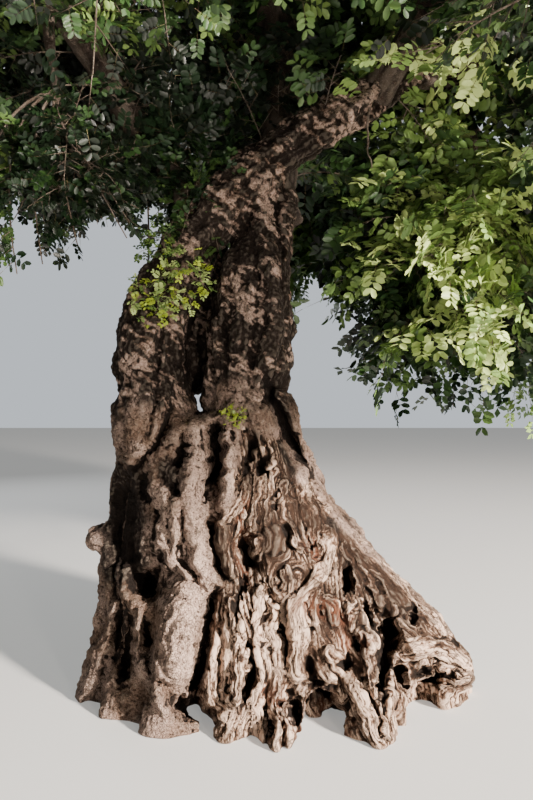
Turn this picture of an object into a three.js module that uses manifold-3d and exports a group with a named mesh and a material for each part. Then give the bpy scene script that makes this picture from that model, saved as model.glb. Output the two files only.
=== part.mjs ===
// An old carob tree. The trunk stands on spreading roots, divides into stems with a slot between
// them, and the stems carry boughs that end in masses of leafy twigs.
// Sizes are in millimetres. +Z is up, and the flat cut under the trunk lies on z = 0.
import * as THREE from "three";
import { mergeVertices } from "three/addons/utils/BufferGeometryUtils.js";
import Module from "manifold-3d";

const wasm = await Module();
wasm.setup();

const CLEARANCE = 0.35; // the gap left between two pieces that touch
const TURN = 2 * Math.PI;

const BARK = { color: 0x6b5748, roughness: 0.95, metalness: 0 };
const BOUGH_BARK = { color: 0x73604f, roughness: 0.93, metalness: 0 };
const LEAF = { color: 0x3f5a2a, roughness: 0.6, metalness: 0 };

// The trunk's outline: how far it reaches from the origin, each way, at each height.
const TRUNK_SIDES = 72;
const TRUNK_LEVELS = [
  { z: 0, left: 1080, right: 1170, front: 720, back: 720 },
  { z: 110, left: 1040, right: 1140, front: 665, back: 660 },
  { z: 270, left: 985, right: 1085, front: 595, back: 590 },
  { z: 450, left: 955, right: 950, front: 535, back: 525 },
  { z: 640, left: 950, right: 755, front: 490, back: 475 },
  { z: 850, left: 955, right: 560, front: 450, back: 440 },
  { z: 1100, left: 905, right: 370, front: 410, back: 410 },
  { z: 1350, left: 875, right: 235, front: 375, back: 370 },
  { z: 1490, left: 865, right: 165, front: 345, back: 340 },
  { z: 1550, left: 835, right: 110, front: 290, back: 300 },
];
const TRUNK_DOME = 15; // how far the middle of the top stands above its rim
const SQUARENESS = 2.2; // 2 is an ellipse, and more is squarer

// The buttress roots: bearing from +X at the ground and at the fork, how far each reaches against
// the outline, and half width.
const ROOTS = [
  { ground: -6, fork: 2, reach: 1.0, width: 27 },
  { ground: 42, fork: 14, reach: 0.95, width: 19 },
  { ground: 80, fork: 40, reach: 1.05, width: 19 },
  { ground: 118, fork: 76, reach: 0.98, width: 21 },
  { ground: 152, fork: 132, reach: 0.92, width: 19 },
  { ground: 187, fork: 192, reach: 0.98, width: 16 },
  { ground: 203, fork: 222, reach: 0.88, width: 14 },
  { ground: 224, fork: 252, reach: 0.86, width: 18 },
  { ground: 249, fork: 289, reach: 0.84, width: 14 },
  { ground: 271, fork: 316, reach: 1.0, width: 14 },
  { ground: 288, fork: 331, reach: 0.86, width: 13 },
  { ground: 308, fork: 343, reach: 1.12, width: 14 },
  { ground: 329, fork: 352, reach: 0.88, width: 14 },
];
const FURROW_AT_GROUND = 0.37; // share of the radius lost between two roots
const FURROW_AT_FORK = 0.08;
const FURROW_FADE = 560; // the height in which the furrows grow shallow

// Swellings of the trunk's side: bearing from its middle, height, how far out, and half sizes.
const SWELLINGS = [
  { bearing: 226, height: 320, out: 95, width: 13, tall: 330 },
  { bearing: 247, height: 1180, out: 70, width: 17, tall: 250 },
  { bearing: 286, height: 1080, out: 45, width: 13, tall: 300 },
  { bearing: 303, height: 760, out: 85, width: 13, tall: 210 },
  { bearing: 262, height: 640, out: 40, width: 9, tall: 380 },
  { bearing: 205, height: 560, out: 35, width: 13, tall: 300 },
  { bearing: 108, height: 700, out: 75, width: 16, tall: 260 },
  { bearing: 62, height: 360, out: 60, width: 14, tall: 240 },
];

// Knobs fused to the trunk, and hollows cut into it: centre, half sizes and lean in degrees.
const KNOBS = [
  { at: [-935, -70, 860], size: [95, 130, 85], lean: 0 },
  { at: [1000, -110, 140], size: [185, 180, 145], lean: 25 },
];
const HOLLOWS = [
  { at: [-302, -580, 400], size: [32, 210, 300], lean: 15 },
  { at: [-650, -450, 690], size: [100, 165, 115], lean: -20 },
  { at: [265, -620, 80], size: [120, 300, 170], lean: 0 },
  { at: [830, -440, 50], size: [135, 260, 170], lean: 15 },
  { at: [640, -470, 430], size: [55, 190, 240], lean: -35 },
  { at: [-245, -430, 1320], size: [32, 150, 160], lean: 14 },
];

// Stems and boughs. A path is the limb's middle line, from its foot to its tip, and radii are those
// at its points. deep is the section's depth against its width. A limb is cut back from the solids
// that it is listed after and grows from.
const STEMS = [
  {
    name: "left_stem",
    path: [
      [-610, 10, 1380],
      [-650, 0, 1640],
      [-690, -10, 1960],
      [-625, -15, 2230],
      [-500, -10, 2460],
      [-385, 0, 2680],
    ],
    radii: [195, 208, 215, 200, 175, 165],
    deep: 1.25,
    sides: 12,
    steps: 9,
    from: ["trunk"],
  },
  {
    name: "right_stem",
    path: [
      [-130, 10, 1330],
      [-125, 0, 1650],
      [-85, -15, 2000],
      [-75, -10, 2250],
      [-15, 40, 2560],
      [30, 100, 2900],
    ],
    radii: [235, 225, 248, 232, 175, 145],
    deep: 1.05,
    sides: 12,
    steps: 9,
    from: ["trunk", "left_stem"],
  },
  {
    name: "main_bough",
    path: [
      [-400, -30, 2600],
      [-235, -60, 2810],
      [-35, -85, 2970],
      [190, -90, 3140],
      [660, -60, 3450],
      [1180, 0, 3720],
    ],
    radii: [150, 170, 148, 120, 100, 86],
    deep: 1,
    sides: 11,
    steps: 9,
    from: ["left_stem", "right_stem"],
  },
  {
    name: "back_stem",
    path: [
      [-150, 230, 1330],
      [-260, 270, 1800],
      [-350, 230, 2250],
      [-330, 120, 2700],
    ],
    radii: [120, 115, 120, 110],
    deep: 1,
    sides: 9,
    steps: 6,
    from: ["trunk", "left_stem", "right_stem", "main_bough"],
  },
];
const BOUGHS = [
  {
    name: "leader_bough",
    path: [
      [20, 130, 2780],
      [70, 230, 3250],
      [50, 290, 3850],
      [40, 240, 4650],
    ],
    radii: [140, 128, 105, 72],
    from: ["right_stem", "main_bough", "back_stem"],
  },
  {
    name: "left_bough",
    path: [
      [-380, 10, 2800],
      [-620, 130, 3130],
      [-1150, 320, 3560],
      [-1950, 440, 3830],
    ],
    radii: [150, 125, 98, 62],
    from: ["left_stem", "main_bough", "back_stem", "leader_bough"],
  },
  {
    name: "right_bough",
    path: [
      [1100, -10, 3680],
      [1600, -20, 3810],
      [2200, 0, 3680],
    ],
    radii: [84, 72, 52],
    from: ["main_bough"],
  },
  {
    name: "inner_right_bough",
    path: [
      [930, -30, 3590],
      [1180, 330, 3690],
      [1400, 640, 3600],
    ],
    radii: [70, 62, 46],
    from: ["main_bough", "right_bough"],
  },
  {
    name: "front_right_bough",
    path: [
      [640, -60, 3440],
      [960, -640, 3780],
      [1270, -1330, 3760],
    ],
    radii: [78, 68, 48],
    from: ["main_bough"],
  },
  {
    name: "front_left_bough",
    path: [
      [-760, 180, 3270],
      [-1120, -480, 3700],
      [-1620, -1120, 3830],
    ],
    radii: [80, 70, 48],
    from: ["left_bough"],
  },
  {
    name: "hanging_bough",
    path: [
      [-1130, -490, 3690],
      [-1080, -600, 3420],
      [-1030, -640, 3140],
    ],
    radii: [30, 25, 18],
    from: ["front_left_bough"],
  },
  {
    name: "back_bough",
    path: [
      [65, 240, 3400],
      [240, 1050, 3930],
      [330, 1900, 4200],
    ],
    radii: [88, 74, 50],
    from: ["leader_bough"],
  },
  {
    name: "back_right_bough",
    path: [
      [60, 270, 3600],
      [900, 960, 4050],
      [1650, 1550, 4060],
    ],
    radii: [84, 70, 48],
    from: ["leader_bough", "back_bough"],
  },
  {
    name: "back_left_bough",
    path: [
      [50, 290, 3750],
      [-620, 990, 4330],
      [-1230, 1640, 4580],
    ],
    radii: [82, 68, 48],
    from: ["leader_bough"],
  },
  {
    name: "front_bough",
    path: [
      [50, 280, 3950],
      [-90, -620, 4330],
      [-260, -1400, 4240],
    ],
    radii: [78, 66, 48],
    from: ["leader_bough"],
  },
];

// The upper boughs leave the leader one above another, each on its own bearing.
const UPPER_BEARINGS = [18, 90, 162, 234, 306];
const UPPER_FOOT = 4130;
const UPPER_RISE = 85; // from one foot to the next
const UPPER_REACH = 1080;
const UPPER_TIP = 4880;
const UPPER_RADII = [62, 54, 40];
const BOUGH_SIDES = 7;
const BOUGH_STEPS = 5;

// The masses of foliage. heart is the middle of a mass, spread its half width, and rise and fall its
// reach above and below. bough is the limb that its stem grows on from.
const UPPER_OUT = 1950;
const UPPER_HEART = 4850;

function mass(name, bough, heart, spread, rise, fall) {
  return { name, bough, heart, spread, rise, fall, twigs: 6, leaves: 4, small: 1 };
}

const MASSES = [
  mass("right_foliage", "right_bough", [2900, 0, 2950], 1500, 1250, 1550),
  mass("back_right_foliage", "back_right_bough", [2300, 2150, 3200], 1500, 1250, 1600),
  mass("back_foliage", "back_bough", [350, 2900, 3850], 1500, 1150, 1050),
  mass("back_left_foliage", "back_left_bough", [-1780, 2300, 4300], 1500, 1050, 850),
  mass("left_foliage", "left_bough", [-2850, 400, 3600], 1500, 1200, 1150),
  mass("front_left_foliage", "front_left_bough", [-2150, -1750, 3350], 1500, 1200, 1100),
  mass("front_foliage", "front_bough", [-300, -2350, 3600], 1400, 1150, 1150),
  mass("front_right_foliage", "front_right_bough", [1650, -1950, 3050], 1400, 1250, 1250),
  mass("inner_right_foliage", "inner_right_bough", [1450, 950, 2900], 1150, 900, 1450),
  mass("crown_top_foliage", "leader_bough", [60, 200, 5550], 1400, 950, 800),
  ...UPPER_BEARINGS.map((bearing, index) =>
    mass(
      `upper_foliage_${index + 1}`,
      `upper_bough_${index + 1}`,
      [...around(bearing, UPPER_OUT), UPPER_HEART],
      1400,
      1050,
      950,
    ),
  ),
  {
    ...mass("hanging_foliage", "hanging_bough", [-930, -650, 2800], 450, 450, 620),
    twigs: 4,
    leaves: 2,
    small: 0.55,
  },
].map((grown, index) => ({ ...grown, seed: 101 + 17 * index }));

// Shoots that grow straight from the bark of the trunk and its stems.
const SHOOTS = [
  {
    name: "stem_shoot",
    foot: [-520, -235, 2330],
    way: [-0.25, -0.75, 0.6],
    reach: 260,
    leaves: 8,
    size: 0.28,
    seed: 907,
  },
  {
    name: "crotch_shoot",
    foot: [-180, -285, 1530],
    way: [0, -0.35, 1],
    reach: 70,
    leaves: 6,
    size: 0.12,
    seed: 911,
  },
];

// How a mass grows.
const CROWN = { heart: [60, 130, 3000], half: [4350, 4250, 3600] };
const LOWEST_LEAF = 1330;
const SPACE_MARGIN = 9; // kept clear of the plane between two masses
const LIMB_MARGIN = 30; // kept clear of stems and boughs
const LEAF_SIZE = { length: 700, width: 400, thickness: 15 };
const LEAF_WIDEST = 0.16; // how far past the middle a leaf is widest, as a share of half its length
const LEAF_SUNK = 5; // how far a leaf's root passes the middle of its twig
const LEAF_APART = 330; // the least way between the middles of two leaves
const LEAF_ROWS = 9; // rows of points at which a leaf's room is tested
const TWIG = { sides: 3, steps: 2, radii: [23, 14] };
const TWIG_POINTS = 12; // points at which a twig's room is tested
const STEM = { sides: 5, steps: 3, share: 0.84, taper: 0.45, bare: 0.3, onward: 0.4 };
const STEM_FOOT = 25; // how far a mass's stem is drawn back into its bough before it is cut
const GOLDEN = Math.PI * (3 - Math.sqrt(5));

function around(bearing, out) {
  const angle = THREE.MathUtils.degToRad(bearing);
  return [out * Math.cos(angle), out * Math.sin(angle)];
}

function vector(point) {
  return new THREE.Vector3(...point);
}

// A repeatable source of numbers from 0 to 1.
function seeded(seed) {
  let state = seed >>> 0;
  return () => {
    state = (state + 0x6d2b79f5) >>> 0;
    let mixed = Math.imul(state ^ (state >>> 15), 1 | state);
    mixed = (mixed + Math.imul(mixed ^ (mixed >>> 7), 61 | mixed)) ^ mixed;
    return ((mixed ^ (mixed >>> 14)) >>> 0) / 4294967296;
  };
}

// A closed three.js geometry as a solid that can be joined and cut.
function solidOf(geometry) {
  const bare = geometry.clone();
  bare.deleteAttribute("normal");
  bare.deleteAttribute("uv");
  const merged = mergeVertices(bare, 1e-3);
  return new wasm.Manifold(
    new wasm.Mesh({
      numProp: 3,
      vertProperties: merged.attributes.position.array,
      triVerts: new Uint32Array(merged.index.array),
    }),
  );
}

// The largest body of a solid: a scrap that a cut has left loose is dropped.
function largestOf(solid) {
  return solid.decompose().reduce((a, b) => (a.volume() > b.volume() ? a : b));
}

function meshOf(name, solid, finish) {
  const made = solid.getMesh();
  const positions = new Float32Array(made.numVert * 3);
  for (let i = 0; i < made.numVert; i++) {
    positions.set(made.vertProperties.subarray(i * made.numProp, i * made.numProp + 3), i * 3);
  }
  const geometry = new THREE.BufferGeometry();
  geometry.setAttribute("position", new THREE.BufferAttribute(positions, 3));
  geometry.setIndex(new THREE.BufferAttribute(new Uint32Array(made.triVerts), 1));
  geometry.computeVertexNormals();
  const mesh = new THREE.Mesh(geometry, new THREE.MeshStandardMaterial(finish));
  mesh.name = name;
  return mesh;
}

// A faceted ellipsoid that leans to one side.
function lump({ at, size, lean }) {
  const geometry = new THREE.IcosahedronGeometry(1, 1);
  geometry.scale(...size);
  geometry.rotateY(THREE.MathUtils.degToRad(lean));
  geometry.translate(...at);
  return solidOf(geometry);
}

// The angle between two bearings, either way round.
function between(first, second) {
  return Math.abs(((((first - second + Math.PI) % TURN) + TURN) % TURN) - Math.PI);
}

// How far the trunk's outline lies from its middle line on a bearing, at a height.
function trunkRadius(level, angle) {
  const halfWidth = (level.left + level.right) / 2;
  const halfDepth = (level.front + level.back) / 2;
  const outline =
    1 /
    Math.pow(
      Math.pow(Math.abs(Math.cos(angle)) / halfWidth, SQUARENESS) +
        Math.pow(Math.abs(Math.sin(angle)) / halfDepth, SQUARENESS),
      1 / SQUARENESS,
    );
  const fade = Math.exp(-level.z / FURROW_FADE);
  const furrow = FURROW_AT_FORK + (FURROW_AT_GROUND - FURROW_AT_FORK) * fade;
  const climbed = level.z / TRUNK_LEVELS[TRUNK_LEVELS.length - 1].z;
  const ridge = Math.max(
    ...ROOTS.map((root) => {
      const bearing = THREE.MathUtils.lerp(root.ground, root.fork, climbed);
      const away = between(angle, THREE.MathUtils.degToRad(bearing));
      const share = Math.min(1, away / THREE.MathUtils.degToRad(root.width));
      return (1 + (root.reach - 1) * fade) * Math.pow(1 - share * share, 1.2);
    }),
  );
  const swelling = SWELLINGS.reduce((sum, bump) => {
    const away = between(angle, THREE.MathUtils.degToRad(bump.bearing));
    const across = away / THREE.MathUtils.degToRad(bump.width);
    return sum + bump.out * Math.exp(-(across ** 2) - ((level.z - bump.height) / bump.tall) ** 2);
  }, 0);
  return outline * (1 - furrow * (1 - ridge)) + swelling;
}

// The trunk: a cylinder whose rings are drawn out to its outline at each height.
function trunkSolid(extra = 0) {
  const rings = TRUNK_LEVELS.length - 1;
  const geometry = new THREE.CylinderGeometry(1, 1, rings, TRUNK_SIDES, rings);
  const places = geometry.attributes.position;
  for (let i = 0; i < places.count; i++) {
    const level = TRUNK_LEVELS[Math.round(places.getY(i) + rings / 2)];
    const middle = [(level.right - level.left) / 2, (level.back - level.front) / 2];
    const [x, y] = [places.getX(i), -places.getZ(i)];
    const onAxis = Math.hypot(x, y) < 0.5;
    const angle = Math.atan2(y, x);
    const radius = onAxis ? 0 : trunkRadius(level, angle) + extra;
    const isTop = level === TRUNK_LEVELS[rings];
    const lift = isTop ? (onAxis ? TRUNK_DOME : 0) + extra : 0;
    places.setXYZ(
      i,
      middle[0] + radius * Math.cos(angle),
      middle[1] + radius * Math.sin(angle),
      level.z + lift,
    );
  }
  const knobs = KNOBS.map((knob) => lump({ ...knob, size: knob.size.map((s) => s + extra) }));
  const whole = wasm.Manifold.union([solidOf(geometry), ...knobs]);
  const aboveGround = new THREE.BoxGeometry(4000, 4000, 4000).translate(0, 0, 2000);
  return whole.intersect(solidOf(aboveGround));
}

function curveOf(path) {
  return new THREE.CatmullRomCurve3(path.map(vector), false, "catmullrom", 0.5);
}

function radiusAt(radii, share) {
  const place = share * (radii.length - 1);
  const index = Math.min(radii.length - 2, Math.floor(place));
  return THREE.MathUtils.lerp(radii[index], radii[index + 1], place - index);
}

// A tapering limb along its path, with soft flutes round its section.
function limbSolid({ path, radii, deep = 1, sides = BOUGH_SIDES, steps = BOUGH_STEPS }, extra = 0) {
  const curve = curveOf(path);
  const frames = curve.computeFrenetFrames(steps, false);
  const geometry = new THREE.CylinderGeometry(1, 1, steps, sides, steps);
  const places = geometry.attributes.position;
  const flute = sides > BOUGH_SIDES ? 0.07 : 0;
  for (let i = 0; i < places.count; i++) {
    const step = Math.round(places.getY(i) + steps / 2);
    const share = step / steps;
    const middle = curve.getPoint(share);
    const onAxis = Math.hypot(places.getX(i), places.getZ(i)) < 0.5;
    const angle = Math.atan2(places.getZ(i), places.getX(i));
    const wave = Math.sin(3 * angle + 2.4 * share) + 0.6 * Math.cos(5 * angle - 4 * share);
    const swell = 1 + flute * wave;
    const radius = onAxis ? 0 : radiusAt(radii, share) * swell + extra;
    const offset = new THREE.Vector3()
      .addScaledVector(frames.normals[step], Math.cos(angle) * radius)
      .addScaledVector(frames.binormals[step], -Math.sin(angle) * radius);
    offset.y *= deep;
    middle.add(offset);
    if (step === steps) middle.addScaledVector(frames.tangents[step], extra);
    places.setXYZ(i, middle.x, middle.y, middle.z);
  }
  const solid = solidOf(geometry);
  if (solid.volume() > 0) return solid;
  geometry.index.array.reverse();
  return solidOf(geometry);
}

// The six corners of a leaf: a flat octahedron, widest past its middle.
function leafGeometry(leaf) {
  const geometry = new THREE.OctahedronGeometry(1, 0);
  const places = geometry.attributes.position;
  for (let i = 0; i < places.count; i++) {
    const forward = Math.abs(places.getX(i)) > 0.5 ? places.getX(i) : LEAF_WIDEST;
    places.setX(i, forward);
  }
  geometry.scale(leaf.length / 2, leaf.width / 2, leaf.thickness / 2);
  geometry.translate(leaf.length / 2, 0, 0);
  const across = new THREE.Vector3().crossVectors(leaf.face, leaf.way);
  geometry.applyMatrix4(new THREE.Matrix4().makeBasis(leaf.way, across, leaf.face));
  geometry.translate(leaf.root.x, leaf.root.y, leaf.root.z);
  return geometry;
}

// Points spread over a leaf, from near its root to its tip.
function leafPoints(leaf) {
  const across = new THREE.Vector3().crossVectors(leaf.face, leaf.way);
  const widest = (1 + LEAF_WIDEST) / 2;
  const points = [];
  for (let i = 1; i <= LEAF_ROWS; i++) {
    const along = i / LEAF_ROWS;
    const half = (leaf.width / 2) * Math.min(along / widest, (1 - along) / (1 - widest));
    for (const side of [-1, -0.5, 0, 0.5, 1]) {
      const point = leaf.root.clone().addScaledVector(leaf.way, along * leaf.length);
      points.push(point.addScaledVector(across, side * half));
    }
  }
  return points;
}

// Points along every stem, bough and mass's stem, with the radius there and whose it is.
const LIMB_POINTS = [];

function noteLimb(owner, curve, radii) {
  const count = 40;
  for (let i = 0; i <= count; i++) {
    LIMB_POINTS.push({ owner, at: curve.getPoint(i / count), radius: radiusAt(radii, i / count) });
  }
}

// Whether points keep to a mass's space and clear of every limb but its own stem.
function roomFor(mass, points) {
  if (!points.every((point) => inSpace(mass, point))) return false;
  return LIMB_POINTS.every(
    ({ owner, at, radius }) =>
      owner === mass.name || points.every((point) => at.distanceTo(point) > radius + LIMB_MARGIN),
  );
}

// A point's place in an ellipsoid: under 1 is inside.
function inEllipsoid(point, heart, half) {
  return Math.hypot(
    (point.x - heart[0]) / half[0],
    (point.y - heart[1]) / half[1],
    (point.z - heart[2]) / half[2],
  );
}

// Whether a point is in a mass's own space: in its ellipsoid and the crown's, and on its own side
// of the plane between it and each other mass.
function inSpace(mass, point) {
  const height = point.z > mass.heart[2] ? mass.rise : mass.fall;
  if (inEllipsoid(point, mass.heart, [mass.spread, mass.spread, height]) > 1) return false;
  if (inEllipsoid(point, CROWN.heart, CROWN.half) > 1 || point.z < LOWEST_LEAF) return false;
  return MASSES.every((other) => {
    if (other === mass) return true;
    const mine = point.distanceToSquared(vector(mass.heart)) - mass.spread ** 2;
    const theirs = point.distanceToSquared(vector(other.heart)) - other.spread ** 2;
    return (theirs - mine) / (2 * vector(mass.heart).distanceTo(vector(other.heart))) > SPACE_MARGIN;
  });
}

function sharesOf(steps) {
  return Array.from({ length: steps + 1 }, (_, i) => i / steps);
}

// The stem's course: from the tip of its bough, by the heart of its mass, and some way beyond.
function stemOf(mass, limbs) {
  const bough = limbs.get(mass.bough);
  const boughCurve = curveOf(bough.path);
  const foot = boughCurve.getPoint(1);
  const start = boughCurve.getTangent(1);
  const heart = vector(mass.heart);
  const onward = heart.clone().sub(foot).normalize();
  const end = heart.clone().addScaledVector(onward, STEM.onward * spaceAlong(mass, heart, onward));
  const bend = foot.clone().addScaledVector(start, 0.45 * foot.distanceTo(heart));
  const curve = new THREE.QuadraticBezierCurve3(foot, bend, end);
  const radius = bough.radii[bough.radii.length - 1] * STEM.share;
  return { start, onward, curve, radii: [radius, radius * (1 - STEM.taper)] };
}

// The twigs of a mass: each leaves the stem and ends short of the edge of the mass's space. Those
// that point back leave it first.
function twigsOf(mass, stem, random) {
  const heart = vector(mass.heart);
  const yaw = random() * TURN;
  const ways = Array.from({ length: mass.twigs }, (_, i) => {
    const up = 1 - (2 * (i + 0.5)) / mass.twigs;
    const flat = Math.sqrt(1 - up * up);
    const bearing = yaw + i * GOLDEN;
    return new THREE.Vector3(flat * Math.cos(bearing), flat * Math.sin(bearing), up);
  });
  ways.sort((a, b) => a.dot(stem.onward) - b.dot(stem.onward));
  let bare = STEM.bare;
  while (bare < 0.8 && !inSpace(mass, stem.curve.getPoint(bare))) bare += 0.05;
  return ways.map((way, i) => {
    const base = stem.curve.getPoint(bare + ((1 - bare) * (i + 0.5)) / mass.twigs);
    const room = spaceAlong(mass, heart, way);
    const short = LEAF_SIZE.length * mass.small * (1.02 + 0.2 * random());
    const tip = heart.clone().addScaledVector(way, Math.max(0.35 * room, room - short));
    const bend = base.clone().add(tip).multiplyScalar(0.5);
    bend.z += 0.14 * base.distanceTo(tip);
    return new THREE.QuadraticBezierCurve3(base, bend, tip);
  });
}

// How far the mass's space goes on from its heart in a direction.
function spaceAlong(mass, heart, way) {
  const step = 40;
  let reach = step;
  while (inSpace(mass, heart.clone().addScaledVector(way, reach))) reach += step;
  return reach - step;
}

// The leaves of one twig: they stand round it by the golden angle, and the last one ends it.
function leavesOf(mass, twig, random) {
  const leaves = [];
  const heart = vector(mass.heart);
  for (let i = 0; i < mass.leaves + 1; i++) {
    const last = i === mass.leaves;
    const share = last ? 1 : 0.42 + (0.5 * i) / mass.leaves;
    const at = twig.getPoint(share);
    const along = twig.getTangent(share);
    const side = new THREE.Vector3(0, 0, 1).cross(along).normalize();
    side.applyAxisAngle(along, (i + random()) * GOLDEN);
    const way = along
      .clone()
      .multiplyScalar(last ? 1 : 0.45)
      .addScaledVector(side, last ? 0.1 : 0.85)
      .add(new THREE.Vector3(0, 0, -0.22))
      .normalize();
    const outward = at.clone().sub(heart).normalize();
    const face = outward.clone().addScaledVector(way, -outward.dot(way)).normalize();
    const size = mass.small * (0.86 + 0.28 * random());
    leaves.push({
      root: at.addScaledVector(way, -LEAF_SUNK * mass.small),
      way,
      face,
      length: LEAF_SIZE.length * size,
      width: LEAF_SIZE.width * size,
      thickness: LEAF_SIZE.thickness * Math.sqrt(mass.small),
    });
  }
  return leaves;
}

// A mass of foliage: its stem, its twigs and its leaves, fused in one solid.
function massSolid(mass, stem, bough) {
  const random = seeded(mass.seed);
  const course = sharesOf(STEM.steps).map((share) => stem.curve.getPoint(share).toArray());
  course[0] = stem.curve.getPoint(0).addScaledVector(stem.start, -STEM_FOOT).toArray();
  const solids = [limbSolid({ ...STEM, path: course, radii: stem.radii })];
  const middles = [];
  for (const twig of twigsOf(mass, stem, random)) {
    const leaves = leavesOf(mass, twig, random);
    if (!roomFor(mass, twig.getPoints(TWIG_POINTS))) continue;
    const path = sharesOf(TWIG.steps).map((share) => twig.getPoint(share).toArray());
    const radii = TWIG.radii.map((radius) => radius * mass.small);
    solids.push(limbSolid({ ...TWIG, path, radii }));
    for (const leaf of leaves) {
      const middle = leaf.root.clone().addScaledVector(leaf.way, leaf.length / 2);
      if (middles.some((other) => other.distanceTo(middle) < LEAF_APART * mass.small)) continue;
      if (!roomFor(mass, leafPoints(leaf))) continue;
      middles.push(middle);
      solids.push(solidOf(leafGeometry(leaf)));
    }
  }
  return largestOf(wasm.Manifold.union(solids).subtract(bough));
}

// A shoot: a short twig out of the bark with a rosette of small leaves.
function shootSolid({ foot, way, reach, leaves, size, seed }, bark) {
  const random = seeded(seed);
  const base = vector(foot);
  const along = vector(way).normalize();
  const tip = base.clone().addScaledVector(along, reach);
  const thick = 0.06 * reach + 3;
  const buried = base.clone().addScaledVector(along, -reach);
  const path = [buried.toArray(), base.toArray(), tip.toArray()];
  const solids = [limbSolid({ path, radii: [thick, thick * 0.6], sides: 4, steps: 2 })];
  const across = new THREE.Vector3().crossVectors(along, new THREE.Vector3(1, 0, 0)).normalize();
  for (let i = 0; i < leaves; i++) {
    const share = 0.3 + (0.7 * i) / (leaves - 1);
    const side = across.clone().applyAxisAngle(along, (i + 0.3 * random()) * GOLDEN);
    const leafWay = side.addScaledVector(along, 0.35 + 0.5 * share).normalize();
    const face = along.clone().addScaledVector(leafWay, -along.dot(leafWay)).normalize();
    const root = base.clone().addScaledVector(along, share * reach).addScaledVector(leafWay, -thick);
    const length = LEAF_SIZE.length * size * (0.85 + 0.3 * random());
    const width = 0.5 * length;
    solids.push(solidOf(leafGeometry({ root, way: leafWay, face, length, width, thickness: 4 })));
  }
  return bark.reduce((solid, wood) => largestOf(solid.subtract(wood)), wasm.Manifold.union(solids));
}

function upperBoughs(leader) {
  const curve = curveOf(leader.path);
  return UPPER_BEARINGS.map((bearing, index) => {
    const height = UPPER_FOOT + UPPER_RISE * index;
    const foot = curve.getPoint((height - leader.path[0][2]) / (leader.path[3][2] - leader.path[0][2]));
    const tip = [...around(bearing, UPPER_REACH), UPPER_TIP];
    const bend = [0.55 * tip[0], 0.55 * tip[1] + 90, 0.5 * (foot.z + UPPER_TIP) + 60];
    return {
      name: `upper_bough_${index + 1}`,
      path: [foot.toArray(), bend, tip],
      radii: UPPER_RADII,
      from: ["leader_bough"],
    };
  });
}

function buildTree() {
  const tree = new THREE.Group();
  tree.name = "carob_tree";
  const swollen = new Map([["trunk", trunkSolid(CLEARANCE)]]);
  const hollows = HOLLOWS.map(lump);
  tree.add(meshOf("trunk", largestOf(wasm.Manifold.difference([trunkSolid(), ...hollows])), BARK));

  const leader = BOUGHS.find((bough) => bough.name === "leader_bough");
  const limbs = new Map();
  for (const limb of [...STEMS, ...BOUGHS, ...upperBoughs(leader)]) {
    limbs.set(limb.name, limb);
    noteLimb(limb.name, curveOf(limb.path), limb.radii);
    const parents = limb.from.map((name) => swollen.get(name));
    const solid = largestOf(wasm.Manifold.difference([limbSolid(limb), ...parents]));
    swollen.set(limb.name, limbSolid(limb, CLEARANCE));
    tree.add(meshOf(limb.name, solid, STEMS.includes(limb) ? BARK : BOUGH_BARK));
  }
  const stems = new Map(MASSES.map((mass) => [mass.name, stemOf(mass, limbs)]));
  for (const [name, stem] of stems) noteLimb(name, stem.curve, stem.radii);
  for (const mass of MASSES) {
    tree.add(meshOf(mass.name, massSolid(mass, stems.get(mass.name), swollen.get(mass.bough)), LEAF));
  }
  const bark = ["trunk", ...STEMS.map((stem) => stem.name)].map((name) => swollen.get(name));
  for (const shoot of SHOOTS) tree.add(meshOf(shoot.name, shootSolid(shoot, bark), LEAF));
  return tree;
}

export default buildTree();
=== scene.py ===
"""An old carob tree, dressed for its picture.

The trunk, its stems and the main bough are one skin of living bark and bare weathered wood. The
outer boughs are tapering limbs of bark. The crown grows on from them by the rule of the part's
source, carried on to sprays, twiglets and compound leaves. Sizes are in metres unless a name says
otherwise.
"""

import itertools
import logging
import math
from collections.abc import Callable
from dataclasses import dataclass, field
from enum import Enum, IntEnum

import bmesh
import bpy
import numpy as np
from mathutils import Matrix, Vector


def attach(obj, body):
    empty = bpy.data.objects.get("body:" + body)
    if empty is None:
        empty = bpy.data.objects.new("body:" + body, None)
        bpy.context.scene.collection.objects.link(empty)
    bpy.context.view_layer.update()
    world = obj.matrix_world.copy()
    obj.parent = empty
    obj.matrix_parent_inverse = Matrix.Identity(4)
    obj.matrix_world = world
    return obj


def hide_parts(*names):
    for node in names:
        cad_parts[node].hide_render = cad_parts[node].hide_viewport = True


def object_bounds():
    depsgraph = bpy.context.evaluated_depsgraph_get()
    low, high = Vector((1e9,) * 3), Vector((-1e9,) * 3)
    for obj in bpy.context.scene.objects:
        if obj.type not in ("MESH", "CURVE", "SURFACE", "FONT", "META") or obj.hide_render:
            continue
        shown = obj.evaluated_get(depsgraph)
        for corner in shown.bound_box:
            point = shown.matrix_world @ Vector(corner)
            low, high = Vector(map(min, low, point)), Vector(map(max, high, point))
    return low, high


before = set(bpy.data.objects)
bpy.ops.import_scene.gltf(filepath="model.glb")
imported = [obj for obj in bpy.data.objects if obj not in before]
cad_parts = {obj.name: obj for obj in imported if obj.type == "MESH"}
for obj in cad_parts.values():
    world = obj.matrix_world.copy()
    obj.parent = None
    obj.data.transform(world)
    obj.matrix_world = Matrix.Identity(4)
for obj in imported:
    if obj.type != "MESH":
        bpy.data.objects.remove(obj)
cad_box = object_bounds()

Rows = np.ndarray  # numbers in rows, one row for each thing
Spot = tuple[float, float, float]
Color = tuple[float, float, float, float]

LOG = logging.getLogger("carob_tree")
MM = 0.001
EYE = np.array([0.0, -3.65, 1.55])  # the eye that looks at the tree from in front
GOLDEN = math.pi * (3 - math.sqrt(5))


# ---- numbers ----


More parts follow.
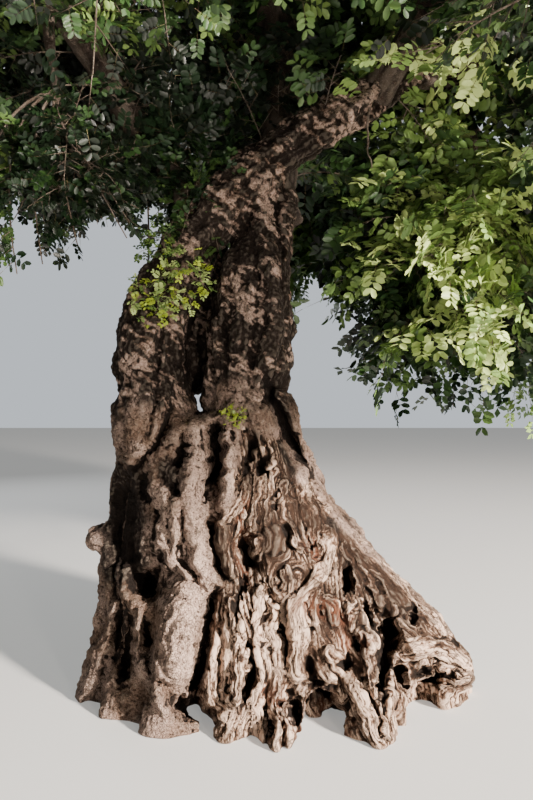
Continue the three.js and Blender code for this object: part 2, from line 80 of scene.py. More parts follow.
def ease(low: float, high: float, value: Rows) -> Rows:
    """A smooth rise from 0 at low to 1 at high.

    Args:
        low: Where the rise starts.
        high: Where it ends.
        value: The numbers to map.

    Returns:
        The mapped numbers.
    """
    share = np.clip((value - low) / (high - low), 0, 1)
    return share * share * (3 - 2 * share)


def unit(ways: Rows) -> Rows:
    """Scales each row to length 1.

    Args:
        ways: Rows of three numbers.

    Returns:
        The same directions, each of length 1.
    """
    return ways / np.maximum(np.linalg.norm(ways, axis=-1, keepdims=True), 1e-9)


def projected(places: Rows, nearest: float) -> tuple[Rows, Rows]:
    """Where the eye in front sees places, on the plane through the tree's middle.

    Args:
        places: Rows of x, y and z.
        nearest: The least distance from the eye that a place is taken to have.

    Returns:
        Each place's distance to the right and its height.
    """
    depth = np.maximum(places[:, 1] - EYE[1], nearest)
    return places[:, 0] / depth * -EYE[1], EYE[2] + (places[:, 2] - EYE[2]) / depth * -EYE[1]


class Seed(IntEnum):
    """Where the chance of each noise starts; WAVER and PATCHES take two numbers a layer."""

    GRAIN_DRIFT = 31
    GRAIN_QUIVER = 32
    BARE_EDGE = 41
    FINE_BARE_EDGE = 42
    STRIP_TOP = 43
    WAVER = 51
    STRANDS = 61
    FINE_STRANDS = 62
    LUMPS = 63
    DENTS = 64
    RIBS = 65
    SWELLS = 66
    GROOVE_DEPTH = 71
    GROOVES = 72
    FINE_GROOVES = 73
    FINEST_GROOVES = 74
    FORK_EDGE = 75
    SCALES = 76
    FINE_SCALES = 77
    LONG_SCALES = 78
    CRUMBS = 79
    RIPPLES = 80
    STRAND_DRIFT = 81
    STRAND_QUIVER = 82
    PATCHES = 85
    FLECKS = 86
    RAGGED = 87
    FINE_RAGGED = 88
    FINE_FLECKS = 89
    BOUGH_RIBS = 91
    BOUGH_KNOTS = 92
    BOUGH_SCALES = 93
    LIGHT = 95
    FLECK_DRIFT = 97


@dataclass(frozen=True)
class GradientNoise:
    """Smooth repeatable noise through space, from about -1 to 1 with cells of size 1."""

    seed: int

    WAYS = np.array(
        [way for way in itertools.product((-1, 0, 1), repeat=3) if sum(map(abs, way)) == 2]
        + [(1, 1, 0), (-1, 1, 0), (0, -1, 1), (0, -1, -1)],
        float,
    )

    def at(self, places: Rows) -> Rows:
        """The noise at some places.

        Args:
            places: Rows of x, y and z.

        Returns:
            One number a row.
        """
        cell = np.floor(places).astype(np.int64)
        part = places - cell
        fade = part**3 * (part * (part * 6 - 15) + 10)
        total = np.zeros(len(places))
        for corner in itertools.product((0, 1), repeat=3):
            at = cell + np.array(corner)
            key = (at[:, 0] * 73856093) ^ (at[:, 1] * 19349663) ^ (at[:, 2] * 83492791)
            key = ((key ^ (self.seed * 2654435761)) * 668265263) & 0xFFFFFFFF
            key = ((key ^ (key >> 15)) * 374761393) & 0xFFFFFFFF
            way = self.WAYS[(key ^ (key >> 13)) & 15]
            weight = np.prod(np.where(corner, fade, 1 - fade), axis=1)
            total += weight * np.einsum("ij,ij->i", way, part - np.array(corner))
        return 1.35 * total


def noise(seed: int, places: Rows, cell: float | Spot) -> Rows:
    """The noise of one seed at some places, with cells of a given size."""
    return GradientNoise(seed).at(places / cell)


def fibrous(seed: int, places: Rows, wide: float, long: float) -> Rows:
    """Noise drawn out along the last axis, with cells of a given width and length."""
    return GradientNoise(seed).at(places * (1 / wide, 1 / wide, 1 / long))


# ---- curves ----


@dataclass(frozen=True)
class LimbCurve:
    """The middle line of a limb, and how thick it is along that line."""

    path: tuple[Spot, ...]
    radii: tuple[float, ...]

    def at(self, share: Rows) -> Rows:
        """Points along the line.

        Args:
            share: How far along each point lies, from 0 to 1.

        Returns:
            Rows of x, y and z.
        """
        knots = np.array(self.path, float)
        knots = np.vstack([2 * knots[0] - knots[1], knots, 2 * knots[-1] - knots[-2]])
        place = np.clip(share, 0, 1) * (len(self.path) - 1)
        index = np.minimum(len(self.path) - 2, place.astype(int))
        t = (place - index)[:, None]
        before, start, end, after = (knots[index + i] for i in range(4))
        leave, arrive = 0.5 * (end - before), 0.5 * (after - start)
        square = -3 * start + 3 * end - 2 * leave - arrive
        cube = 2 * start - 2 * end + leave + arrive
        return start + leave * t + square * t**2 + cube * t**3

    def radius(self, share: Rows) -> Rows:
        """How thick the limb is along its line.

        Args:
            share: How far along, from 0 to 1.

        Returns:
            A radius for each.
        """
        return np.interp(share, np.linspace(0, 1, len(self.radii)), self.radii)

    def frames(self, count: int) -> tuple[Rows, Rows, Rows, Rows]:
        """Places along the line with two ways across it that don't twist.

        Args:
            count: How many places.

        Returns:
            Points, ways along, and two ways across, each as rows.
        """
        points = self.at(np.linspace(0, 1, count))
        along = unit(np.gradient(points, axis=0))
        across = np.zeros_like(points)
        way = np.cross(along[0], (0.3, 1.0, 0.2))
        for i in range(count):
            way = way - along[i] * way.dot(along[i])
            way = way / np.linalg.norm(way)
            across[i] = way
        return points, along, across, np.cross(along, across)


# ---- the tree's measures, as in the part's source, in millimetres ----

TRUNK_LEVELS = (
    (0, 1080, 1170),
    (110, 1040, 1140),
    (270, 985, 1085),
    (450, 955, 950),
    (640, 950, 755),
    (850, 955, 560),
    (1100, 905, 370),
    (1350, 875, 235),
    (1490, 865, 165),
    (1550, 835, 110),
)
ROOTS_AT_GROUND = (-6, 42, 80, 118, 152, 187, 203, 224, 249, 271, 288, 308, 329)
ROOTS_AT_FORK = (2, 14, 40, 76, 132, 192, 222, 252, 289, 316, 331, 343, 352)

STEMS = {
    "left_stem": LimbCurve(
        (
            (-610, 10, 1380),
            (-650, 0, 1640),
            (-690, -10, 1960),
            (-625, -15, 2230),
            (-500, -10, 2460),
            (-385, 0, 2680),
        ),
        (195, 208, 215, 200, 175, 165),
    ),
    "right_stem": LimbCurve(
        (
            (-130, 10, 1330),
            (-125, 0, 1650),
            (-85, -15, 2000),
            (-75, -10, 2250),
            (-15, 40, 2560),
            (30, 100, 2900),
        ),
        (235, 225, 248, 232, 175, 145),
    ),
    "main_bough": LimbCurve(
        (
            (-400, -30, 2600),
            (-235, -60, 2810),
            (-35, -85, 2970),
            (190, -90, 3140),
            (660, -60, 3450),
            (1180, 0, 3720),
        ),
        (150, 170, 148, 120, 100, 86),
    ),
    "back_stem": LimbCurve(
        ((-150, 230, 1330), (-260, 270, 1800), (-350, 230, 2250), (-330, 120, 2700)),
        (120, 115, 120, 110),
    ),
}
BOUGHS = {
    "leader_bough": LimbCurve(
        ((20, 130, 2780), (70, 230, 3250), (50, 290, 3850), (40, 240, 4650)),
        (140, 128, 105, 72),
    ),
    "left_bough": LimbCurve(
        ((-380, 10, 2800), (-620, 130, 3130), (-1150, 320, 3560), (-1950, 440, 3830)),
        (150, 125, 98, 62),
    ),
    "right_bough": LimbCurve(((1100, -10, 3680), (1600, -20, 3810), (2200, 0, 3680)), (84, 72, 52)),
    "inner_right_bough": LimbCurve(
        ((930, -30, 3590), (1180, 330, 3690), (1400, 640, 3600)), (70, 62, 46)
    ),
    "front_right_bough": LimbCurve(
        ((640, -60, 3440), (960, -640, 3780), (1270, -1330, 3760)), (78, 68, 48)
    ),
    "front_left_bough": LimbCurve(
        ((-760, 180, 3270), (-1120, -480, 3700), (-1620, -1120, 3830)), (80, 70, 48)
    ),
    "hanging_bough": LimbCurve(
        ((-1130, -490, 3690), (-1080, -600, 3420), (-1030, -640, 3140)), (30, 25, 18)
    ),
    "back_bough": LimbCurve(((65, 240, 3400), (240, 1050, 3930), (330, 1900, 4200)), (88, 74, 50)),
    "back_right_bough": LimbCurve(
        ((60, 270, 3600), (900, 960, 4050), (1650, 1550, 4060)), (84, 70, 48)
    ),
    "back_left_bough": LimbCurve(
        ((50, 290, 3750), (-620, 990, 4330), (-1230, 1640, 4580)), (82, 68, 48)
    ),
    "front_bough": LimbCurve(
        ((50, 280, 3950), (-90, -620, 4330), (-260, -1400, 4240)), (78, 66, 48)
    ),
}
UPPER_BEARINGS = (18, 90, 162, 234, 306)


def upper_boughs() -> dict[str, LimbCurve]:
    """The boughs that leave the leader one above another.

    Returns:
        A curve for each name, in millimetres.
    """
    made = {}
    leader = BOUGHS["leader_bough"]
    low, high = leader.path[0][2], leader.path[-1][2]
    lowest, apart, reach, tip_height = 4130, 85, 1080, 4880
    for index, bearing in enumerate(UPPER_BEARINGS):
        height = lowest + apart * index
        foot = leader.at(np.array([(height - low) / (high - low)]))[0]
        angle = math.radians(bearing)
        tip = (reach * math.cos(angle), reach * math.sin(angle), tip_height)
        bend = (0.55 * tip[0], 0.55 * tip[1] + 90, 0.5 * (foot[2] + tip_height) + 60)
        made[f"upper_bough_{index + 1}"] = LimbCurve((tuple(foot), bend, tip), (62, 54, 40))
    return made


BOUGHS.update(upper_boughs())


# ---- shader graphs ----


class Graph:
    """Adds nodes to one node tree and joins their sockets."""

    def __init__(self, tree: bpy.types.NodeTree) -> None:
        """Keeps the tree that the nodes go into."""
        self.tree = tree

    def node(self, kind: str, inputs: dict | None = None, **settings: object) -> bpy.types.Node:
        """Adds a node.

        Args:
            kind: The node's type.
            inputs: A value, or an output socket to join, for each input's name or number.
            **settings: The node's own settings.

        Returns:
            The new node.
        """
        made = self.tree.nodes.new(kind)
        for name, value in settings.items():
            setattr(made, name, value)
        for key, value in (inputs or {}).items():
            if isinstance(value, bpy.types.NodeSocket):
                self.tree.links.new(value, made.inputs[key])
            else:
                made.inputs[key].default_value = value
        return made

    def math(self, operation: str, first: object, second: object = 0.0) -> bpy.types.NodeSocket:
        """Adds a Math node.

        Args:
            operation: What it does.
            first: Its first value or socket.
            second: Its second value or socket.

        Returns:
            The result's socket.
        """
        made = self.node("ShaderNodeMath", {0: first, 1: second}, operation=operation)
        return made.outputs[0]

    def plus(self, first: object, second: object) -> bpy.types.NodeSocket:
        """Adds two values or sockets."""
        return self.math("ADD", first, second)

    def minus(self, first: object, second: object) -> bpy.types.NodeSocket:
        """Takes the second value or socket from the first."""
        return self.math("SUBTRACT", first, second)

    def times(self, first: object, second: object) -> bpy.types.NodeSocket:
        """Multiplies two values or sockets."""
        return self.math("MULTIPLY", first, second)

    def join(self, first: bpy.types.NodeSocket, second: bpy.types.NodeSocket) -> None:
        """Joins an output to an input."""
        self.tree.links.new(first, second)

    def spread(self, value: object, low: float, high: float, to: tuple = (0, 1)) -> object:
        """Maps a range of values to another, smoothly and clamped.

        Args:
            value: The socket to map.
            low: What becomes the first of the new range.
            high: What becomes its second.
            to: The new range.

        Returns:
            The result's socket.
        """
        made = self.node(
            "ShaderNodeMapRange",
            {"Value": value, "From Min": low, "From Max": high, "To Min": to[0], "To Max": to[1]},
            interpolation_type="SMOOTHSTEP",
        )
        return made.outputs[0]

    def mix(self, share: object, first: object, second: object) -> bpy.types.NodeSocket:
        """Mixes two colours.

        Args:
            share: How much of the second.
            first: The first colour or socket.
            second: The second colour or socket.

        Returns:
            The result's socket.
        """
        made = self.node("ShaderNodeMix", data_type="RGBA")
        for key, value in (("Factor", share), (6, first), (7, second)):
            if isinstance(value, bpy.types.NodeSocket):
                self.join(value, made.inputs[key])
            else:
                made.inputs[key].default_value = value
        return made.outputs[2]

    def noise(self, vector: object, scale: float, detail: float, rough: float = 0.55) -> object:
        """Adds a Noise Texture.

        Args:
            vector: The socket of the coordinates.
            scale: Cells in a metre.
            detail: How many finer layers.
            rough: How strong those are.

        Returns:
            The socket of its value.
        """
        made = self.node(
            "ShaderNodeTexNoise",
            {"Vector": vector, "Scale": scale, "Detail": detail, "Roughness": rough},
        )
        return made.outputs[0]


class GroupMaker:
    """Builds each shared effect once, as a node group with named inputs and outputs."""

    # The first colour is painted shade for hollows, the second a painted highlight for crests.
    HOLLOW_SHADE: Color = (0.012, 0.008, 0.006, 1)
    CREST_HIGHLIGHT: Color = (0.52, 0.43, 0.34, 1)
    STAIN: Color = (0.10, 0.062, 0.045, 1)
    PIT: Color = (0.034, 0.020, 0.014, 1)
    LICHEN: Color = (0.62, 0.48, 0.40, 1)

    @staticmethod
    def _start(name: str, inputs: dict[str, tuple], outputs: dict[str, str]) -> tuple:
        """Starts a group.

        Args:
            name: The group's name.
            inputs: For each input's name, its socket type and first value.
            outputs: For each output's name, its socket type.

        Returns:
            The group's tree, its graph, its input node and its output node.
        """
        tree = bpy.data.node_groups.new(name, "ShaderNodeTree")
        for label, (kind, value) in inputs.items():
            socket = tree.interface.new_socket(label, in_out="INPUT", socket_type=kind)
            if value is not None:
                socket.default_value = value
        for label, kind in outputs.items():
            tree.interface.new_socket(label, in_out="OUTPUT", socket_type=kind)
        graph = Graph(tree)
        return tree, graph, graph.node("NodeGroupInput"), graph.node("NodeGroupOutput")

    @classmethod
    def crevice_shade_and_highlight(cls) -> bpy.types.NodeTree:
        """Painted shade in hollows, and a pale painted highlight on what stands out.

        Returns:
            The group, which takes a colour, the hollow mask and two strengths.
        """
        found = bpy.data.node_groups.get("crevice_shade_and_highlight")
        if found:
            return found
        tree, graph, source, target = cls._start(
            "crevice_shade_and_highlight",
            {
                "Color": ("NodeSocketColor", (0.5, 0.5, 0.5, 1)),
                "Hollow": ("NodeSocketFloat", 0.5),
                "Depth": ("NodeSocketFloat", 0.8),
                "Highlight": ("NodeSocketFloat", 0.2),
            },
            {"Color": "NodeSocketColor"},
        )
        hollow = source.outputs["Hollow"]
        # Painted shade where the hollow mask is high, a painted highlight where it is low.
        deep = graph.times(graph.spread(hollow, 0.55, 0.92), source.outputs["Depth"])
        proud = graph.times(graph.spread(hollow, 0.5, 0.2), source.outputs["Highlight"])
        dark = graph.mix(deep, source.outputs["Color"], cls.HOLLOW_SHADE)
        pale = graph.mix(proud, dark, cls.CREST_HIGHLIGHT)
        graph.join(pale, target.inputs["Color"])
        return tree

    @classmethod
    def rough_bark(cls) -> bpy.types.NodeTree:
        """Living bark: patches of grey and brown, fine cracks and small scales.

        Returns:
            The group, which takes coordinates and puts out a colour and a height.
        """
        found = bpy.data.node_groups.get("rough_bark")
        if found:
            return found
        tree, graph, source, target = cls._start(
            "rough_bark",
            {
                "Vector": ("NodeSocketVector", None),
                "Brown": ("NodeSocketColor", (0.30, 0.22, 0.17, 1)),
                "Grey": ("NodeSocketColor", (0.44, 0.38, 0.33, 1)),
                "Scale": ("NodeSocketFloat", 1.0),
            },
            {"Color": "NodeSocketColor", "Height": "NodeSocketFloat"},
        )
        scaled = graph.node(
            "ShaderNodeVectorMath",
            {0: source.outputs["Vector"], "Scale": source.outputs["Scale"]},
            operation="SCALE",
        ).outputs[0]
        patch = graph.noise(scaled, scale=4.5, detail=4)
        speck = graph.noise(scaled, scale=76, detail=6, rough=0.80)
        stain = graph.noise(scaled, scale=21, detail=4, rough=0.66)
        cells = graph.node(
            "ShaderNodeTexVoronoi", {"Vector": scaled, "Scale": 62.0}, feature="DISTANCE_TO_EDGE"
        )
        crack = graph.spread(cells.outputs["Distance"], 0.0, 0.16)
        brown, grey = source.outputs["Brown"], source.outputs["Grey"]
        tone = graph.mix(graph.spread(patch, 0.36, 0.66), brown, grey)
        tone = graph.mix(graph.spread(stain, 0.50, 0.30, (0, 0.55)), tone, cls.STAIN)
        pitted = graph.plus(speck, graph.times(graph.minus(stain, 0.5), 0.35))
        pits = graph.spread(pitted, 0.53, 0.38, (0, 0.86))
        tone = graph.mix(pits, tone, cls.PIT)
        lichen = graph.spread(speck, 0.56, 0.70, (0, 0.5))
        graph.join(graph.mix(lichen, tone, cls.LICHEN), target.inputs["Color"])
        height = graph.plus(graph.times(speck, 0.7), graph.times(crack, 0.35))
        graph.join(height, target.inputs["Height"])
        return tree


def new_finish(name: str) -> tuple[bpy.types.Material, Graph, bpy.types.Node]:
    """Starts a material.

    Args:
        name: The material's name.

    Returns:
        The material, its graph and its shader.
    """
    made = bpy.data.materials.new(name)
    made.use_nodes = True
    return made, Graph(made.node_tree), made.node_tree.nodes["Principled BSDF"]


class Surface(Enum):
    """The attributes that the wood's materials read."""

    HOLLOW = "hollow"
    BARE = "bare"
    ROT = "rot"
    # The tone holds pale and dark wood, and painted light and shade.
    TONE = "tone"
    GRAIN = "grain"


@dataclass(frozen=True)
class OldWoodFinish:
    """Bark and bare weathered wood on one skin, told apart by the skin's own masks."""

    brown: Color = (0.20, 0.128, 0.090, 1)
    grey: Color = (0.43, 0.308, 0.25, 1)
    cream: Color = (0.63, 0.452, 0.342, 1)
    weathered: Color = (0.135, 0.080, 0.053, 1)
    stain: Color = (0.030, 0.016, 0.010, 1)
    rot: Color = (0.14, 0.050, 0.026, 1)
    bleached_and_sunlit: Color = (0.62, 0.445, 0.36, 1)
    shade: Color = (0.010, 0.007, 0.0055, 1)

    def material(self) -> bpy.types.Material:
        """Builds the material.

        Returns:
            The finished material.
        """
        made, graph, shader = new_finish("old_wood")
        mask = {
            kind: graph.node("ShaderNodeAttribute", attribute_name=kind.value) for kind in Surface
        }
        share = {kind: node.outputs["Fac"] for kind, node in mask.items()}
        place = graph.node("ShaderNodeTexCoord").outputs["Object"]
        grain = mask[Surface.GRAIN].outputs["Vector"]
        bark = graph.node("ShaderNodeGroup", {}, node_tree=GroupMaker.rough_bark())
        graph.join(place, bark.inputs["Vector"])
        # Bark turns pale where the tone is high: bleached bark and painted sunlight.
        sunny = graph.spread(share[Surface.TONE], 0.52, 0.95, (0, 0.9))
        graph.join(graph.mix(sunny, self.brown, self.bleached_and_sunlit), bark.inputs["Brown"])
        graph.join(graph.mix(sunny, self.grey, self.bleached_and_sunlit), bark.inputs["Grey"])
        streak = graph.noise(grain, scale=42, detail=6, rough=0.64)
        fibre = graph.noise(grain, scale=150, detail=4, rough=0.64)
        patch = graph.noise(place, scale=6, detail=5)
        crumb = graph.noise(place, scale=62, detail=6, rough=0.78)
        # Bare wood turns cream or stained dark with its grain and patches, and with the tone and
        # hollow masks, so painted light and painted shade show here too.
        lit = graph.minus(graph.plus(graph.times(streak, 0.52), graph.times(fibre, 0.62)), 0.07)
        for cause, weight in (
            (share[Surface.TONE], 0.48),
            (share[Surface.HOLLOW], -0.42),
            (patch, 0.5),
            (crumb, 0.55),
        ):
            lit = graph.plus(lit, graph.times(graph.minus(cause, 0.5), weight))
        tone = graph.mix(graph.spread(lit, 0.46, 0.69), self.weathered, self.cream)
        tone = graph.mix(graph.spread(lit, 0.47, 0.36, (0, 0.95)), tone, self.stain)
        split = graph.math("ABSOLUTE", graph.minus(streak, 0.5))
        split = graph.spread(split, 0.040, 0.006, (0, 0.88))
        tone = graph.mix(split, tone, self.stain)
        shady = graph.spread(share[Surface.TONE], 0.48, 0.12, (0, 0.94))
        living = graph.mix(shady, bark.outputs["Color"], self.shade)
        skin = graph.mix(share[Surface.BARE], living, tone)
        skin = graph.mix(graph.times(share[Surface.ROT], 0.85), skin, self.rot)
        # Painted shade in hollows and a painted highlight on crests.
        crevices = graph.node("ShaderNodeGroup", {}, node_tree=GroupMaker.crevice_shade_and_highlight())
        graph.join(skin, crevices.inputs["Color"])
        graph.join(share[Surface.HOLLOW], crevices.inputs["Hollow"])
        crevices.inputs["Depth"].default_value = 0.95
        crevices.inputs["Highlight"].default_value = 0.16
        graph.join(crevices.outputs["Color"], shader.inputs["Base Color"])
        worn = graph.plus(graph.times(streak, 0.5), graph.times(fibre, 0.45))
        worn = graph.minus(worn, graph.times(split, 0.25))
        worn = graph.plus(worn, graph.times(crumb, 0.35))
        heights = {"Factor": share[Surface.BARE], 2: bark.outputs["Height"], 3: worn}
        height = graph.node("ShaderNodeMix", heights, data_type="FLOAT").outputs[0]
        bump = graph.node("ShaderNodeBump", {"Strength": 1.0, "Distance": 0.024, "Height": height})
        graph.join(bump.outputs[0], shader.inputs["Normal"])
        rough = graph.spread(bark.outputs["Height"], 0.2, 0.9, (0.96, 0.8))
        graph.join(rough, shader.inputs["Roughness"])
        shader.inputs["Specular IOR Level"].default_value = 0.14
        return made


# ---- relief of the old wood ----


def rows_near(path: tuple, reach: float, across: Rows, up: Rows) -> Rows:
    """Finds the places in the box round a line.

    Args:
        path: The line's corners in millimetres.
        reach: How far the box goes on past them, in metres.
        across: Each place's distance to the right.
        up: Each place's height.

    Returns:
        The rows of those places.
    """
    knots = np.array(path, float) * MM
    low, high = knots.min(axis=0) - reach, knots.max(axis=0) + reach
    inside = (across > low[0]) & (across < high[0]) & (up > low[1]) & (up < high[1])
    return np.flatnonzero(inside)


def nearest_on(path: tuple, across: Rows, up: Rows) -> tuple[Rows, Rows, Rows]:
    """Finds the nearest point of a line on the front plane to each of some places.

    Args:
        path: The line's corners in millimetres.
        across: Each place's distance to the right.
        up: Each place's height.

    Returns:
        The distances, how far along the line the nearest point lies, from 0 to 1, and the side.
    """
    knots = np.array(path if len(path) > 1 else path * 2, float) * MM
    lengths = np.maximum(np.linalg.norm(np.diff(knots, axis=0), axis=1), 1e-6)
    best = np.full(len(across), 9.0)
    share, side = np.zeros(len(across)), np.ones(len(across))
    gone = 0.0
    for start, end, length in zip(knots[:-1], knots[1:], lengths):
        way = (end - start) / length
        right, over = across - start[0], up - start[1]
        run = np.clip(right * way[0] + over * way[1], 0, length)
        off = np.hypot(right - run * way[0], over - run * way[1])
        nearer = off < best
        best = np.where(nearer, off, best)
        share = np.where(nearer, (gone + run) / lengths.sum(), share)
        side = np.where(nearer, np.sign(right * way[1] - over * way[0]), side)
        gone += length
    return best, share, side


BARK_CREASES = -400  # a crease that starts left of this is in bark
BARK_STRANDS = -300  # a strand that starts left of this is a fold of bark


@dataclass(frozen=True)
class Line:
    """A crease or a patch of colour along a line, seen from the front, in millimetres."""

    path: tuple[tuple[int, int], ...]
    half_width: float
    depth: float = 0

    def covers(self, across: Rows, up: Rows) -> Rows:
        """Whether places lie within its half width."""
        return nearest_on(self.path, across, up)[0] < self.half_width * MM

    def softly(self, across: Rows, up: Rows) -> Rows:
        """How strongly a patch shows: 1 on the line, and less and less away from it.

        Args:
            across: Each place's distance to the right.
            up: Each place's height.

        Returns:
            A share for each place.
        """
        found = np.zeros(len(across))
        width = self.half_width * MM
        rows = rows_near(self.path, 2.4 * width, across, up)
        found[rows] = np.exp(-((nearest_on(self.path, across[rows], up[rows])[0] / width) ** 2))
        return found

    def cut(self, across: Rows, up: Rows) -> Rows:
        """How deep a crease is cut: steep at its sides, and running out at its ends.

        Args:
            across: Each place's distance to the right.
            up: Each place's height.

        Returns:
            A depth in metres for each place.
        """
        found = np.zeros(len(across))
        width = self.half_width * MM
        rows = rows_near(self.path, 3 * width, across, up)
        off, along, _ = nearest_on(self.path, across[rows], up[rows])
        flat = np.stack([across[rows], up[rows], np.zeros(len(rows))], axis=1)
        ragged = noise(Seed.RAGGED, flat, 0.06) + 0.5 * noise(Seed.FINE_RAGGED, flat, 0.025)
        on_bark = self.path[0][0] < BARK_CREASES
        off = off * (1 + (0.15 if on_bark else 0.5) * ragged)
        steepness = 1.3 + 1.4 * min(1, max(0, (self.half_width - 16) / 24))
        ends = ease(0, 0.14, along) * ease(1, 0.86, along) * 0.7 + 0.3
        found[rows] = self.depth * MM * np.exp(-((off / width) ** steepness)) * ends
        return found


@dataclass(frozen=True)
class Strand:
    """A rope of wood or a fold of bark that stands out along a line, in millimetres."""

    path: tuple[tuple[int, int], ...]
    start: float
    end: float
    rise: float

    def is_knot(self) -> bool:
        """Whether it is as short as it is wide."""
        return math.dist(self.path[0], self.path[-1]) < self.start

    def stand(self, across: Rows, up: Rows) -> tuple[Rows, Rows, Rows, Rows]:
        """How far the strand stands out, and where places lie on it.

        Args:
            across: Each place's distance to the right.
            up: Each place's height.

        Returns:
            The rows of the places near it, its height there, the distance from its middle line
            with its side, and the way along it.
        """
        rows = rows_near(self.path, max(self.start, self.end) * MM, across, up)
        off, share, side = nearest_on(self.path, across[rows], up[rows])
        half = (self.start + (self.end - self.start) * share) * MM
        roundness = 0.5 if self.path[0][0] < BARK_STRANDS else 0.36
        round_top = np.clip(1 - (off / half) ** 2, 0, 1) ** roundness
        long = sum(math.dist(a, b) for a, b in zip(self.path, self.path[1:])) * MM
        return rows, self.rise * MM * round_top, off * side, -share * long


@dataclass(frozen=True)
class Whorl:
    """A knot that the fibres flow round, seen from the front, in millimetres."""

    across: float
    up: float
    size: float


